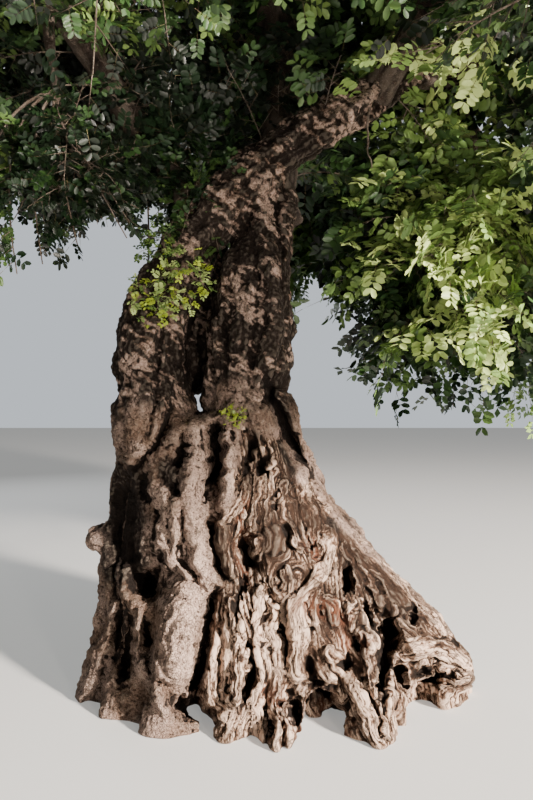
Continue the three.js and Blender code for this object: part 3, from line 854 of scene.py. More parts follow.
CREASES = (
    Line(((-10, 1790), (55, 1600), (130, 1440), (215, 1290)), 36, 135),
    Line(((-655, 1030), (-645, 940), (-660, 835)), 13, 60),
    Line(((-625, 795), (-615, 705), (-580, 645), (-530, 605)), 14, 65),
    Line(((-520, 820), (-530, 735), (-490, 695), (-435, 635), (-365, 605)), 14, 70),
    Line(((-320, 940), (-330, 820), (-308, 705), (-260, 645), (-200, 570)), 16, 75),
    Line(((-455, 1330), (-360, 1325)), 8, 18),
    Line(((-450, 1300), (-350, 1303)), 8, 20),
    Line(((-440, 1255), (-380, 1245)), 8, 18),
    Line(((-450, 1375), (-390, 1365)), 7, 16),
    Line(((-560, 530), (-480, 490), (-440, 470)), 10, 26),
    Line(((-800, 1160), (-835, 900), (-800, 640)), 75, 95),
    Line(((-300, 540), (-335, 410), (-360, 265), (-375, 150), (-400, 50), (-450, -60)), 26, 209),
    Line(((-530, -115), (-450, -145), (-365, -165)), 53, 266),
    Line(((-400, -60), (-375, -185), (-345, -270)), 35, 209),
    Line(((-125, 645), (-155, 530), (-165, 400), (-165, 340)), 23, 105),
    Line(((-140, 285), (-95, 190), (-60, 95), (-95, -10), (-120, -80)), 26, 161),
    Line(((25, 530), (75, 435), (90, 295), (115, 140)), 25, 118),
    Line(((-150, 845), (-120, 745), (-50, 685)), 29, 142),
    Line(((-25, 1320), (-5, 1205)), 29, 123),
    Line(((-85, 1410), (-115, 1290), (-110, 1185)), 23, 77),
    Line(((115, 910), (130, 820), (140, 750)), 21, 77),
    Line(((30, 1030), (80, 1010)), 23, 70),
    Line(((250, 795), (280, 780)), 23, 70),
    Line(((445, 675), (465, 560), (485, 515)), 35, 190),
    Line(((560, 470), (605, 355), (655, 265)), 35, 209),
    Line(((705, 400), (725, 340), (695, 235), (680, 90), (665, -60)), 47, 247),
    Line(((500, 220), (550, 235)), 35, 190),
    Line(((430, 130), (465, 95)), 29, 133),
    Line(((830, 370), (870, 355)), 29, 133),
    Line(((805, 430), (875, 435)), 23, 70),
    Line(((1065, 245), (1125, 210)), 26, 133),
    Line(((890, 40), (960, 70), (1030, 35)), 41, 228),
    Line(((785, 120), (770, 0)), 29, 133),
    Line(((155, -70), (175, -165), (195, -255)), 47, 247),
    Line(((350, -280), (395, -185), (455, -130)), 47, 247),
    Line(((265, 50), (325, -25), (375, -80)), 35, 171),
    Line(((245, 150), (265, 70)), 23, 84),
    Line(((-760, 555), (-690, 575), (-630, 565)), 76, 190),
    Line(((-835, 440), (-825, 235), (-835, 0)), 47, 180),
    Line(((-705, 365), (-695, 205)), 29, 133),
    Line(((-285, 1525), (-295, 1380), (-310, 1235), (-320, 1140)), 35, 156),
    Line(((-470, 1410), (-495, 1320), (-520, 1235)), 29, 94),
    Line(((-520, 1175), (-545, 1085)), 18, 69),
    Line(((-705, 1235), (-725, 1115), (-670, 1030)), 29, 94),
    Line(((-645, 1040), (-660, 910), (-650, 765), (-595, 645)), 23, 65),
    Line(((-515, 820), (-485, 695), (-390, 605)), 21, 58),
    Line(((-295, 930), (-325, 795), (-290, 670), (-210, 565)), 21, 65),
    Line(((-350, 1130), (-365, 1045)), 18, 69),
    Line(((-215, 1470), (-195, 1405)), 18, 69),
    Line(((-550, 1675), (-590, 1470), (-685, 1335), (-815, 1220)), 26, 88),
    Line(((105, 1495), (195, 1320), (300, 1165)), 29, 95),
    Line(((490, 775), (550, 635), (620, 490)), 15, 34),
    Line(((585, 705), (655, 635), (715, 550)), 13, 32),
    Line(((255, 1145), (345, 1045), (395, 940)), 13, 28),
    Line(((-110, 2405), (-180, 2240), (-260, 2045)), 18, 34),
    Line(((60, 2875), (75, 2670), (105, 2455)), 21, 70),
    Line(((-595, 175), (-585, 120), (-605, 70)), 13, 30),
    Line(((-570, 70), (-550, 5), (-510, -40)), 13, 34),
    Line(((-260, 470), (-280, 325), (-260, 235)), 14, 34),
    Line(((-290, 175), (-295, 30), (-260, -85)), 14, 34),
    Line(((-225, 150), (-240, 0), (-210, -115)), 12, 30),
    Line(((-150, 175), (-140, 60), (-155, -60)), 14, 34),
    Line(((-10, 90), (10, -60), (-5, -350)), 14, 44),
    Line(((85, -60), (95, -380)), 15, 44),
    Line(((-25, 410), (-15, 235), (20, 120)), 13, 32),
    Line(((225, 470), (245, 295), (300, 105)), 13, 30),
    Line(((325, 175), (385, 70), (490, -85)), 14, 36),
    Line(((535, 560), (585, 455), (645, 365)), 13, 36),
    Line(((680, -115), (715, -245)), 14, 44),
    Line(((550, 50), (580, -115)), 13, 34),
    Line(((960, 150), (1075, 105), (1180, 70)), 14, 34),
    Line(((930, 70), (1060, 15)), 13, 30),
    Line(((-770, 1055), (-790, 820), (-755, 590)), 21, 48),
    Line(((-870, 940), (-860, 705), (-895, 470)), 18, 62),
    Line(((-435, 2230), (-470, 1995), (-495, 1705)), 29, 95),
    Line(((-625, 2125), (-635, 1935), (-670, 1690)), 18, 34),
    Line(((-260, 2760), (-95, 2875), (80, 3025), (315, 3200)), 18, 34),
    Line(((-95, 3110), (50, 3195), (195, 3300)), 21, 56),
    Line(((-215, 2405), (-240, 2170), (-250, 1935)), 18, 34),
    Line(((-50, 2455), (-50, 2230), (-85, 1995), (-75, 1760)), 18, 34),
    Line(((-360, 1495), (-375, 1350), (-350, 1235)), 15, 52),
)
STRANDS = (
    Strand(((-385, 790), (-395, 690)), 84, 76, 88),
    Strand(((-755, 1370), (-745, 1340)), 62, 56, 60),
    Strand(
        ((-870, 455), (-905, 295), (-960, 190), (-995, 70), (-1045, -30), (-1105, -115)),
        *(41, 47, 85),
    ),
    Strand(((-835, 305), (-905, 225), (-965, 150)), 35, 29, 65),
    Strand(((-735, 410), (-750, 340), (-760, 235), (-785, 140)), 23, 23, 60),
    Strand(((-735, 120), (-685, 25), (-635, -70), (-580, -150)), 35, 35, 70),
    Strand(((-485, 425), (-495, 235), (-500, 130)), 158, 170, 105),
    Strand(((-625, 1115), (-645, 940), (-625, 795), (-590, 670)), 48, 48, 92),
    Strand(((-530, 1055), (-545, 880), (-525, 735), (-450, 625)), 48, 48, 78),
    Strand(((-410, 1055), (-400, 880), (-380, 705), (-320, 560)), 80, 64, 103),
    Strand(((-260, 895), (-260, 765), (-220, 625)), 48, 43, 47),
    Strand(((-645, 1320), (-670, 1175), (-655, 1055)), 75, 59, 81),
    Strand(((-410, 1470), (-415, 1320), (-425, 1175), (-450, 1055)), 75, 75, 89),
    Strand(((-200, 1470), (-215, 1320), (-225, 1175), (-260, 1010)), 48, 48, 58),
    Strand(((-685, 1340), (-580, 1420), (-450, 1495), (-320, 1540), (-155, 1505)), 32, 32, 47),
    Strand(((-265, 500), (-300, 295), (-330, 150), (-325, -30), (-265, -185)), 41, 41, 46),
    Strand(((-195, 470), (-210, 235), (-200, 60), (-195, -70)), 53, 82, 75),
    Strand(((-110, 1235), (-155, 1055), (-225, 940)), 35, 35, 30),
    Strand(((-25, 530), (-50, 325), (-10, 150), (-10, 0), (-50, -145), (-60, -380)), 47, 41, 44),
    Strand(((15, 470), (30, 235), (55, 105)), 41, 41, 36),
    Strand(((75, 70), (40, -115), (45, -380)), 35, 35, 42),
    Strand(((145, -145), (150, -365)), 41, 35, 36),
    Strand(((180, 460), (195, 235), (195, 70)), 76, 76, 38),
    Strand(((365, 870), (355, 705), (300, 590), (220, 515), (165, 400), (150, 270)), 47, 41, 42),
    Strand(((120, 605), (120, 595)), 70, 70, 36),
    Strand(((40, 845), (40, 800)), 76, 76, 36),
    Strand(((-50, 835), (-50, 730)), 47, 41, 36),
    Strand(((490, 475), (490, 435)), 53, 47, 50),
    Strand(((500, 400), (490, 310)), 35, 29, 34),
    Strand(((555, 295), (605, 150), (630, -60)), 41, 47, 55),
    Strand(((360, 190), (460, 50), (535, -115), (605, -265), (655, -365)), 53, 47, 52),
    Strand(((630, -60), (665, -185), (715, -305)), 23, 23, 34),
    Strand(((375, 985), (500, 820), (635, 675), (785, 515), (930, 365), (1020, 285)), 65, 59, 38),
    Strand(((450, 795), (560, 635), (645, 505), (700, 400)), 35, 29, 32),
    Strand(((490, 635), (560, 480), (625, 390), (690, 295)), 29, 23, 32),
    Strand(((815, 190), (930, 225), (1045, 190), (1155, 135)), 70, 59, 50),
    Strand(((950, 50), (1075, 0), (1170, 25)), 41, 35, 38),
    Strand(((1020, 325), (1090, 235)), 29, 23, 30),
    Strand(((1135, 245), (1175, 165)), 29, 29, 30),
    Strand(((-730, 1760), (-765, 1470), (-805, 1245)), 80, 64, 56),
    Strand(((-585, 1645), (-635, 1470), (-695, 1320)), 54, 43, 47),
    Strand(((-60, 1675), (-25, 1440), (15, 1280)), 70, 47, 36),
    Strand(((90, 1645), (195, 1410), (335, 1105)), 70, 53, 36),
    Strand(((-25, 1220), (-65, 1055), (-75, 905)), 35, 29, 28),
    Strand(((45, 1245), (5, 1055), (10, 940)), 29, 29, 26),
    Strand(((110, 1175), (85, 1030), (140, 880), (195, 775)), 35, 35, 30),
    Strand(((195, 1205), (225, 1055), (280, 910), (300, 730)), 47, 41, 26),
    Strand(((250, -60), (290, -200)), 59, 41, 44),
    Strand(((245, 305), (300, 150), (385, 15)), 41, 35, 32),
    Strand(((350, 470), (395, 365)), 53, 47, 26),
    Strand(
        ((145, 2905), (130, 2730), (145, 2525), (160, 2230), (140, 2025), (90, 1850)),
        *(41, 53, 42),
    ),
    Strand(((-200, 2495), (-260, 2320), (-295, 2115), (-320, 1880), (-345, 1675)), 53, 59, 38),
    Strand(((-25, 2790), (-20, 2585), (25, 2350), (55, 2115), (10, 1880), (-25, 1705)), 53, 65, 40),
    Strand(((-115, 2455), (-140, 2230), (-165, 1995), (-180, 1760)), 53, 59, 34),
    Strand(((-685, 2100), (-715, 1935), (-725, 1775)), 76, 76, 38),
    Strand(((-535, 2125), (-555, 1935), (-595, 1705)), 53, 53, 32),
    Strand(((-815, 2055), (-835, 1880), (-820, 1690)), 35, 41, 28),
    Strand(((-240, 2740), (-25, 2935), (225, 3110), (460, 3285), (595, 3450)), 59, 47, 34),
    Strand(((-85, 3185), (50, 3275), (150, 3355)), 35, 29, 44),
    Strand(((-260, 2890), (-95, 3030), (140, 3205)), 53, 41, 30),
    Strand(((-360, 2610), (-450, 2455), (-565, 2290)), 70, 70, 34),
    Strand(((-360, 2905), (-390, 2965)), 53, 47, 40),
)
# Pale wood, and painted light: the lit bark above the crotch and a painted highlight along the
# right ridge's top edge.
PALE_AND_LIT_WOOD = (
    Line(((-260, 235), (-245, -60), (-225, -185)), 70),
    Line(((-60, -60), (-55, -380)), 41),
    Line(((-25, 470), (30, 175), (-5, 0)), 53),
    Line(((180, 470), (195, 60)), 88),
    Line(((350, 820), (345, 645), (210, 500), (150, 340)), 70),
    Line(((490, 460),), 53),
    Line(((585, 235), (625, -60)), 53),
    Line(((795, 225), (960, 225), (1165, 140)), 88),
    Line(((410, 940), (665, 695), (1020, 325)), 22),
    Line(((210, 1175), (390, 985)), 35),
    Line(((-420, 970), (-415, 705)), 59),
    Line(((500, -60), (655, -350)), 29),
    Line(((-155, 410), (-145, 235)), 23),
    Line(((-330, 470), (-320, 235)), 23),
    Line(((-595, 470), (-450, 530)), 47),
    Line(((115, -60), (115, -320)), 18),
    Line(((-480, 430), (-500, 250), (-480, 80)), 125),
    Line(((-600, 1080), (-610, 800)), 45),
    Line(((-500, 1100), (-510, 700)), 42),
    Line(((-405, 1120), (-395, 620)), 62),
    Line(((-400, 1480), (-420, 1200)), 50),
    Line(((-210, 1440), (-235, 1080)), 45),
    Line(((-340, 1600), (-240, 1700), (-90, 1720)), 62),
    Line(((-760, 1370), (-745, 1330)), 45),
)
# Dark wood, and painted shade: the shaded left flank and a painted shadow down the right stem's
# lower right side.
DARK_AND_SHADED_WOOD = (
    Line(((-260, 870), (-240, 645)), 59),
    Line(((-85, 1410), (-120, 1175)), 59),
    Line(((30, 940), (50, 750)), 100),
    Line(((385, 530), (360, 340)), 82),
    Line(((230, 165), (300, -45)), 65),
    Line(((110, 1235), (195, 940)), 70),
    Line(((735, 400), (840, 325)), 82),
    Line(((-155, 530), (-95, 705)), 47),
    Line(((120, 600),), 53),
    Line(((430, 635), (465, 540)), 35),
    Line(((-580, 1235), (-520, 1055)), 70),
    Line(((-780, 1200), (-800, 900), (-770, 610)), 92),
    Line(((-880, 1230), (-905, 900), (-880, 620)), 88),
    Line(((380, 960), (560, 760), (760, 540), (920, 400)), 62),
    Line(((330, 760), (480, 620)), 70),
    Line(((300, 1040), (450, 820), (640, 610), (830, 450)), 110),
    Line(((420, 780), (560, 560), (700, 420)), 60),
    Line(((820, 330), (960, 250), (1100, 210)), 40),
    Line(((-10, 1790), (130, 1440), (215, 1290)), 34),
    Line(((250, 620), (350, 480)), 50),
    Line(((60, 1340), (180, 1060), (330, 900)), 62),
    Line(((560, 330), (700, 260), (900, 330)), 58),
    Line(((620, 60), (560, 200)), 60),
)
ROTTEN = (
    Line(((-130, 1050), (-140, 780), (-110, 560)), 45),
    Line(((200, 470), (330, 430), (450, 390)), 80),
    Line(((40, -60), (180, -260)), 90),
    Line(((255, 830), (290, 740)), 40),
    Line(((470, 250), (600, 230)), 70),
    Line(((340, -160), (420, -260)), 80),
)
WHORLS = (
    Whorl(50, 793, 82),
    Whorl(138, 617, 110),
    Whorl(490, 470, 62),
    Whorl(842, 353, 40),
    Whorl(-97, 793, 66),
    Whorl(109, 1086, 66),
)
BARE_WOOD = (
    (-155, 1500),
    (40, 1400),
    (150, 1210),
    (260, 1150),
    (420, 900),
    (560, 760),
    (760, 640),
    (960, 400),
    (1300, 200),
    (1300, -450),
    (-420, -450),
    (-400, 60),
    (-330, 380),
    (-300, 530),
    (-185, 560),
    (-315, 705),
    (-285, 930),
    (-185, 1060),
)


@dataclass(frozen=True)
class Front:
    """Places as the eye in front of the tree sees them, on the plane through its middle."""

    across: Rows
    up: Rows
    facing: Rows

    @classmethod
    def of(cls, points: Rows, normals: Rows) -> "Front":
        """Looks at points from the front.

        Args:
            points: Rows of x, y and z.
            normals: The surface's way out at each.

        Returns:
            Where they are seen, and how far each faces the eye.
        """
        across, up = projected(points, nearest=0.5)
        facing = np.einsum("ij,ij->i", normals, unit(EYE - points))
        nearer = ease(0.35, 0.0, points[:, 1])
        return cls(across, up, ease(0.02, 0.42, facing) * nearer)

    def wavered(self, layers: tuple[tuple[float, float], ...], seed: int) -> tuple[Rows, Rows]:
        """The places with a smooth unevenness, so that what is drawn there wanders.

        Args:
            layers: How far each layer of unevenness moves a place, and how wide it is.
            seed: Where its chance starts.

        Returns:
            The new distances to the right and heights.
        """
        across, up = self.across.copy(), self.up.copy()
        flat = np.stack([across, up, np.zeros(len(up))], axis=1)
        for order, (reach, cell) in enumerate(layers):
            across += noise(seed + 2 * order, flat, cell) * reach
            up += noise(seed + 2 * order + 1, flat, cell) * reach
        return across, up


def inside_outline(
    outline: tuple[tuple[int, int], ...], across: Rows, up: Rows, soft: float
) -> Rows:
    """How far inside an outline on the front plane places lie.

    Args:
        outline: Its corners in millimetres, in order.
        across: Each place's distance to the right.
        up: Each place's height.
        soft: The width of the outline's blurred edge.

    Returns:
        1 inside, 0 outside, and between the two near the edge.
    """
    inside = np.zeros(len(across), bool)
    corners = np.array(outline, float) * MM
    for (x1, z1), (x2, z2) in zip(corners, np.roll(corners, -1, axis=0)):
        crosses = (z1 > up) != (z2 > up)
        at = x1 + (up - z1) / np.where(z2 == z1, 1e-9, z2 - z1) * (x2 - x1)
        inside ^= crosses & (across < at)
    edge = nearest_on(outline + outline[:1], across, up)[0]
    return ease(-soft, soft, np.where(inside, edge, -edge))


@dataclass
class GrainFlow:
    """The lines that the trunk's fibres follow, from each root up to the fork, and round knots."""

    fork: float = 1.55
    reach: float = 0.8
    bend: float = 3.2

    def places(self, points: Rows, front: Front) -> Rows:
        """Lays points out so that the fibres all run along the last axis.

        Args:
            points: Rows of x, y and z.
            front: The same points seen from the front.

        Returns:
            Rows of three: a point on a circle for the fibre, and how far along it.
        """
        levels = np.array(TRUNK_LEVELS, float) * MM
        middle = np.interp(points[:, 2], levels[:, 0], (levels[:, 2] - levels[:, 1]) / 2)
        dx, dy = points[:, 0] - middle, points[:, 1]
        climbed = np.clip(points[:, 2] / self.fork, 0, 1)
        ground = np.array(ROOTS_AT_GROUND + (ROOTS_AT_GROUND[0] + 360,), float)
        fork = np.array(ROOTS_AT_FORK + (ROOTS_AT_FORK[0] + 360,), float)
        knots = ground + (fork - ground) * climbed[:, None]
        bearing = np.degrees(np.arctan2(dy, dx))
        bearing = (bearing - knots[:, 0]) % 360 + knots[:, 0]
        fibre = np.zeros(len(points))
        for k in range(len(ground) - 1):
            share = (bearing - knots[:, k]) / (knots[:, k + 1] - knots[:, k])
            here = (share >= 0) & (share < 1)
            fibre = np.where(here, ground[k] + share * (ground[k + 1] - ground[k]), fibre)
        along = points[:, 2] - 0.6 * np.hypot(dx, dy)
        shift = np.zeros(len(points))
        for knot in WHORLS:
            x = front.across - knot.across * MM
            z = front.up - knot.up * MM
            size = knot.size * MM
            away = np.maximum(np.hypot(x, z), 1e-4)
            round_it = -x * (size / away) ** 2 * np.exp(-((away / (self.bend * size)) ** 2))
            rings = -x * np.exp(-((1 / self.bend) ** 2)) + (size - away) * 0.9
            shift += np.where(away > size, round_it, rings) * front.facing
        wander = noise(Seed.GRAIN_DRIFT, points, 0.42) * 0.07
        wander += noise(Seed.GRAIN_QUIVER, points, 0.13) * 0.016
        angle = np.radians(fibre) + (shift + wander) / self.reach
        return np.stack([self.reach * np.cos(angle), self.reach * np.sin(angle), along], axis=1)


@dataclass
class LimbFlow:
    """Where points lie round and along the limb that they are nearest to."""

    limbs: dict[str, LimbCurve]
    count: int = 60

    def places(self, points: Rows) -> Rows:
        """Lays points out along their nearest limb.

        Args:
            points: Rows of x, y and z.

        Returns:
            Rows of three, with the last axis along the limb.
        """
        best = np.full(len(points), 1e9)
        laid = np.zeros_like(points)
        for order, limb in enumerate(self.limbs.values()):
            middles, along, across, over = limb.frames(self.count)
            radii = limb.radius(np.linspace(0, 1, self.count))
            run = np.concatenate([[0], np.cumsum(np.linalg.norm(np.diff(middles, axis=0), axis=1))])
            nearest = np.zeros(len(points), int)
            gap = np.full(len(points), 1e9)
            for i in range(self.count):
                off = np.linalg.norm(points - middles[i] * MM, axis=1) - radii[i] * MM
                nearest = np.where(off < gap, i, nearest)
                gap = np.minimum(off, gap)
            offset = points - middles[nearest] * MM
            right, out, on = (
                np.einsum("ij,ij->i", offset, way[nearest]) for way in (across, over, along)
            )
            own = np.stack([right, out, run[nearest] * MM + on + 3 * order], axis=1)
            laid = np.where((gap < best)[:, None], own, laid)
            best = np.minimum(gap, best)
        return laid


# ---- meshes ----


def deselect() -> None:
    """Leaves object mode with nothing selected."""
    if bpy.context.object and bpy.context.object.mode != "OBJECT":
        bpy.ops.object.mode_set(mode="OBJECT")
    bpy.ops.object.select_all(action="DESELECT")


def choose(piece: bpy.types.Object) -> None:
    """Selects one object alone and makes it active."""
    deselect()
    piece.select_set(True)
    bpy.context.view_layer.objects.active = piece


def finish_modifier(piece: bpy.types.Object, kind: str, **settings: object) -> None:
    """Adds a modifier and applies it.

    Args:
        piece: The object.
        kind: The modifier's type.
        **settings: Its settings.
    """
    choose(piece)
    modifier = piece.modifiers.new(kind.lower(), kind)
    for name, value in settings.items():
        setattr(modifier, name, value)
    bpy.ops.object.modifier_apply(modifier=modifier.name)


def copy_of_node(name: str) -> bpy.types.Object:
    """A copy of a CAD node with its loose triangles joined.

    Args:
        name: The node's name.

    Returns:
        The copy.
    """
    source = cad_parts[name]
    made = bpy.data.objects.new(f"{name}_copy", source.data.copy())
    bpy.context.scene.collection.objects.link(made)
    choose(made)
    bpy.ops.object.mode_set(mode="EDIT")
    bpy.ops.mesh.select_all(action="SELECT")
    bpy.ops.mesh.remove_doubles(threshold=1e-5)
    bpy.ops.object.mode_set(mode="OBJECT")
    return made


def points_of(mesh: bpy.types.Mesh) -> Rows:
    """The mesh's corners as rows of x, y and z."""
    places = np.zeros(len(mesh.vertices) * 3, np.float32)
    mesh.vertices.foreach_get("co", places)
    return places.reshape(-1, 3).astype(float)


def normals_of(mesh: bpy.types.Mesh) -> Rows:
    """The way out at each of the mesh's corners, as rows."""
    ways = np.zeros(len(mesh.vertices) * 3, np.float32)
    mesh.vertex_normals.foreach_get("vector", ways)
    return ways.reshape(-1, 3).astype(float)


def set_points(mesh: bpy.types.Mesh, points: Rows) -> None:
    """Moves the mesh's corners to new places."""
    mesh.vertices.foreach_set("co", points.astype(np.float32).ravel())
    mesh.update()


def set_attribute(mesh: bpy.types.Mesh, name: str, values: Rows) -> None:
    """Stores a number or three for each corner of the mesh.

    Args:
        mesh: The mesh.
        name: The attribute's name.
        values: One number or three a corner.
    """
    kind, key = ("FLOAT", "value") if values.ndim == 1 else ("FLOAT_VECTOR", "vector")
    made = mesh.attributes.get(name) or mesh.attributes.new(name, kind, "POINT")
    made.data.foreach_set(key, values.astype(np.float32).ravel())


def smoothed(piece: bpy.types.Object, rounds: int) -> tuple[Rows, Rows]:
    """A look at a smoothed copy of the surface.

    Args:
        piece: The object.
        rounds: How much the copy is smoothed.

    Returns:
        How far each corner lies below the copy, positive in hollows, and the copy's way out there.
    """
    twin = bpy.data.objects.new("smooth_twin", piece.data.copy())
    bpy.context.scene.collection.objects.link(twin)
    finish_modifier(twin, "SMOOTH", factor=0.5, iterations=rounds)
    moved = points_of(twin.data) - points_of(piece.data)
    ways = normals_of(twin.data)
    bpy.data.objects.remove(twin)
    return np.einsum("ij,ij->i", moved, normals_of(piece.data)), ways


WHOLE_NORMAL = "whole_normal"  # the attribute with the whole skin's way out at each corner


def part_between(
    piece: bpy.types.Object, name: str, low: float | None, high: float | None
) -> bpy.types.Object:
    """The part of a skin between two heights, closed, and shaded as the whole skin.

    Args:
        piece: The whole skin, which keeps its shading in the attribute WHOLE_NORMAL.
        name: The part's name.
        low: The height that it starts at, or None.
        high: The height that it ends at, or None.

    Returns:
        The new piece.
    """
    made = bpy.data.objects.new(name, piece.data.copy())
    made.data.name = name
    bpy.context.scene.collection.objects.link(made)
    work = bmesh.new()
    work.from_mesh(made.data)
    for height, below in ((low, True), (high, False)):
        if height is None:
            continue
        cut = bmesh.ops.bisect_plane(
            work,
            geom=work.verts[:] + work.edges[:] + work.faces[:],
            plane_co=(0, 0, height),
            plane_no=(0, 0, 1),
            clear_inner=below,
            clear_outer=not below,
        )
        rim = [item for item in cut["geom_cut"] if isinstance(item, bmesh.types.BMEdge)]
        bmesh.ops.triangle_fill(work, edges=rim, normal=(0, 0, -1 if below else 1))
    work.to_mesh(made.data)
    work.free()
    choose(made)
    bpy.ops.object.shade_smooth()
    ways = np.zeros(len(made.data.vertices) * 3, np.float32)
    made.data.attributes[WHOLE_NORMAL].data.foreach_get("vector", ways)
    made.data.normals_split_custom_set_from_vertices(unit(ways.reshape(-1, 3)).tolist())
    made.data.attributes.remove(made.data.attributes[WHOLE_NORMAL])
    return made


@dataclass
class OldWood:
    """The trunk, its stems and the main bough as one skin of bark and bare wood."""

    first_voxel: float = 0.009
    last_voxel: float = 0.0084
    cuts: tuple[float, ...] = (0.29, 0.66, 0.98, 1.42, 2.1)
    names: tuple[str, ...] = (
        "trunk_foot",
        "trunk_shin",
        "trunk_waist",
        "trunk_shoulder",
        "trunk_fork",
        "upper_stems",
    )
    webs: tuple[tuple[Spot, Spot], ...] = (
        ((-0.66, -0.17, 1.50), (0.20, 0.19, 0.34)),
        ((-0.08, -0.13, 1.48), (0.21, 0.17, 0.30)),
        ((0.06, -0.05, 1.40), (0.15, 0.20, 0.30)),
        ((-0.70, 0.16, 1.48), (0.18, 0.18, 0.30)),
        ((-0.15, 0.22, 1.46), (0.24, 0.20, 0.30)),
        ((-0.44, 0.20, 2.06), (0.12, 0.11, 0.36)),
    )
    unevenness: tuple[tuple[float, float], ...] = ((0.019, 0.17), (0.011, 0.085), (0.005, 0.032))
    first_rounds: int = 34
    last_rounds: int = 2
    view_rounds: int = 60
    fine_rounds: int = 8
    broad_rounds: int = 80
    below_ground: float = 0.09
    nodes: tuple[str, ...] = ("trunk", "left_stem", "right_stem", "main_bough", "back_stem")
    flow: GrainFlow = field(default_factory=GrainFlow)
    limb_flow: LimbFlow = field(default_factory=lambda: LimbFlow(STEMS))

    def block(self) -> bpy.types.Object:
        """Fuses copies of the solids and softens their facets.

        Returns:
            The block that the relief is worked into.
        """
        copies = [copy_of_node(name) for name in self.nodes]
        choose(copies[0])
        bpy.ops.object.mode_set(mode="EDIT")
        bpy.ops.mesh.select_all(action="DESELECT")
        bpy.ops.object.mode_set(mode="OBJECT")
        for face in copies[0].data.polygons:
            face.select = face.center.z < 0.001 and face.normal.z < -0.5
        bpy.ops.object.mode_set(mode="EDIT")
        move = {"value": (0, 0, -self.below_ground)}
        bpy.ops.mesh.extrude_region_move(TRANSFORM_OT_translate=move)
        bpy.ops.object.mode_set(mode="OBJECT")
        for middle, half in self.webs:
            deselect()
            bpy.ops.mesh.primitive_uv_sphere_add(radius=1, location=middle, scale=half)
            copies.append(bpy.context.object)
        choose(copies[0])
        for other in copies:
            other.select_set(True)
        bpy.ops.object.join()
        whole = bpy.context.object
        finish_modifier(whole, "REMESH", mode="VOXEL", voxel_size=self.first_voxel)
        finish_modifier(whole, "SMOOTH", factor=0.5, iterations=self.first_rounds)
        return whole

    def bareness(self, points: Rows, front: Front) -> Rows:
        """Where the bark is gone: a field on the front, and strips at the back.

        Args:
            points: Rows of x, y and z.
            front: The same points seen from the front.

        Returns:
            1 on bare wood and 0 on bark.
        """
        stray = noise(Seed.BARE_EDGE, points, 0.11) * 0.03
        stray += noise(Seed.FINE_BARE_EDGE, points, 0.04) * 0.012
        field_in_front = inside_outline(BARE_WOOD, front.across + stray, front.up + stray, 0.02)
        bearing = np.degrees(np.arctan2(points[:, 1], points[:, 0]))
        low = 0.95 + 0.25 * noise(Seed.STRIP_TOP, points, 0.3) - points[:, 2]
        strip = ease(34, 24, np.abs(bearing - 78 + 150 * stray)) * ease(-0.05, 0.05, low)
        right_side = ease(-62, -52, bearing) * ease(16, 8, bearing) * ease(-0.05, 0.05, low - 0.1)
        strips = np.maximum(strip, right_side * (points[:, 0] > 0))
        behind = 1 - ease(0.2, 0.5, front.facing)
        elsewhere = np.maximum(field_in_front * (1 - behind), strips)
        return np.clip(np.where(front.facing > 0.5, field_in_front, elsewhere), 0, 1)

    def carve(self, whole: bpy.types.Object) -> None:
        """Works the folds, clefts, lobes and strands into the block.

        What is drawn from the front moves towards the eye, so it stays where it is seen.

        Args:
            whole: The block.
        """
        mesh = whole.data
        points, normals = points_of(mesh), normals_of(mesh)
        front = Front.of(points, smoothed(whole, self.view_rounds)[1])
        across, up = front.wavered(self.unevenness, Seed.WAVER)
        drawn = np.zeros(len(points))
        for strand in STRANDS:
            rows, height, _, _ = strand.stand(across, up)
            drawn[rows] = np.maximum(drawn[rows], height)
        on_strand = ease(0.0, 0.02, drawn * front.facing)
        for crease in CREASES:
            drawn -= crease.cut(across, up)
        bare = self.bareness(points, front)
        flow = self.flow.places(points, front)
        strands = np.sqrt(np.abs(fibrous(Seed.STRANDS, flow, 0.15, 0.9)))
        strands += 0.5 * np.sqrt(np.abs(fibrous(Seed.FINE_STRANDS, flow, 0.07, 0.5)))
        lumps = noise(Seed.LUMPS, points, (0.24, 0.24, 0.3)) * 0.6
        lumps += np.abs(noise(Seed.DENTS, points, (0.13, 0.13, 0.2))) - 0.25
        below_fork = ease(1.75, 1.4, points[:, 2])
        back = 1 - front.facing
        relief = bare * (strands - 0.8) * (0.034 + 0.036 * back) * below_fork
        relief *= 1 - 0.3 * on_strand
        relief += (1 - bare) * lumps * (0.020 + 0.014 * back)
        relief += (1 - bare) * (strands - 0.8) * 0.046 * back * below_fork
        laid = self.limb_flow.places(points)
        twist = laid.copy()
        twist[:, 0] += 0.12 * laid[:, 2]
        ribs = np.sqrt(np.abs(fibrous(Seed.RIBS, twist, 0.12, 0.7))) - 0.45
        ribs += 0.35 * noise(Seed.SWELLS, laid, 0.2)
        relief += (1 - below_fork) * ribs * 0.042
        towards = unit(EYE - points)
        moved = points + towards * (drawn * front.facing)[:, None] + normals * relief[:, None]
        set_points(mesh, moved)

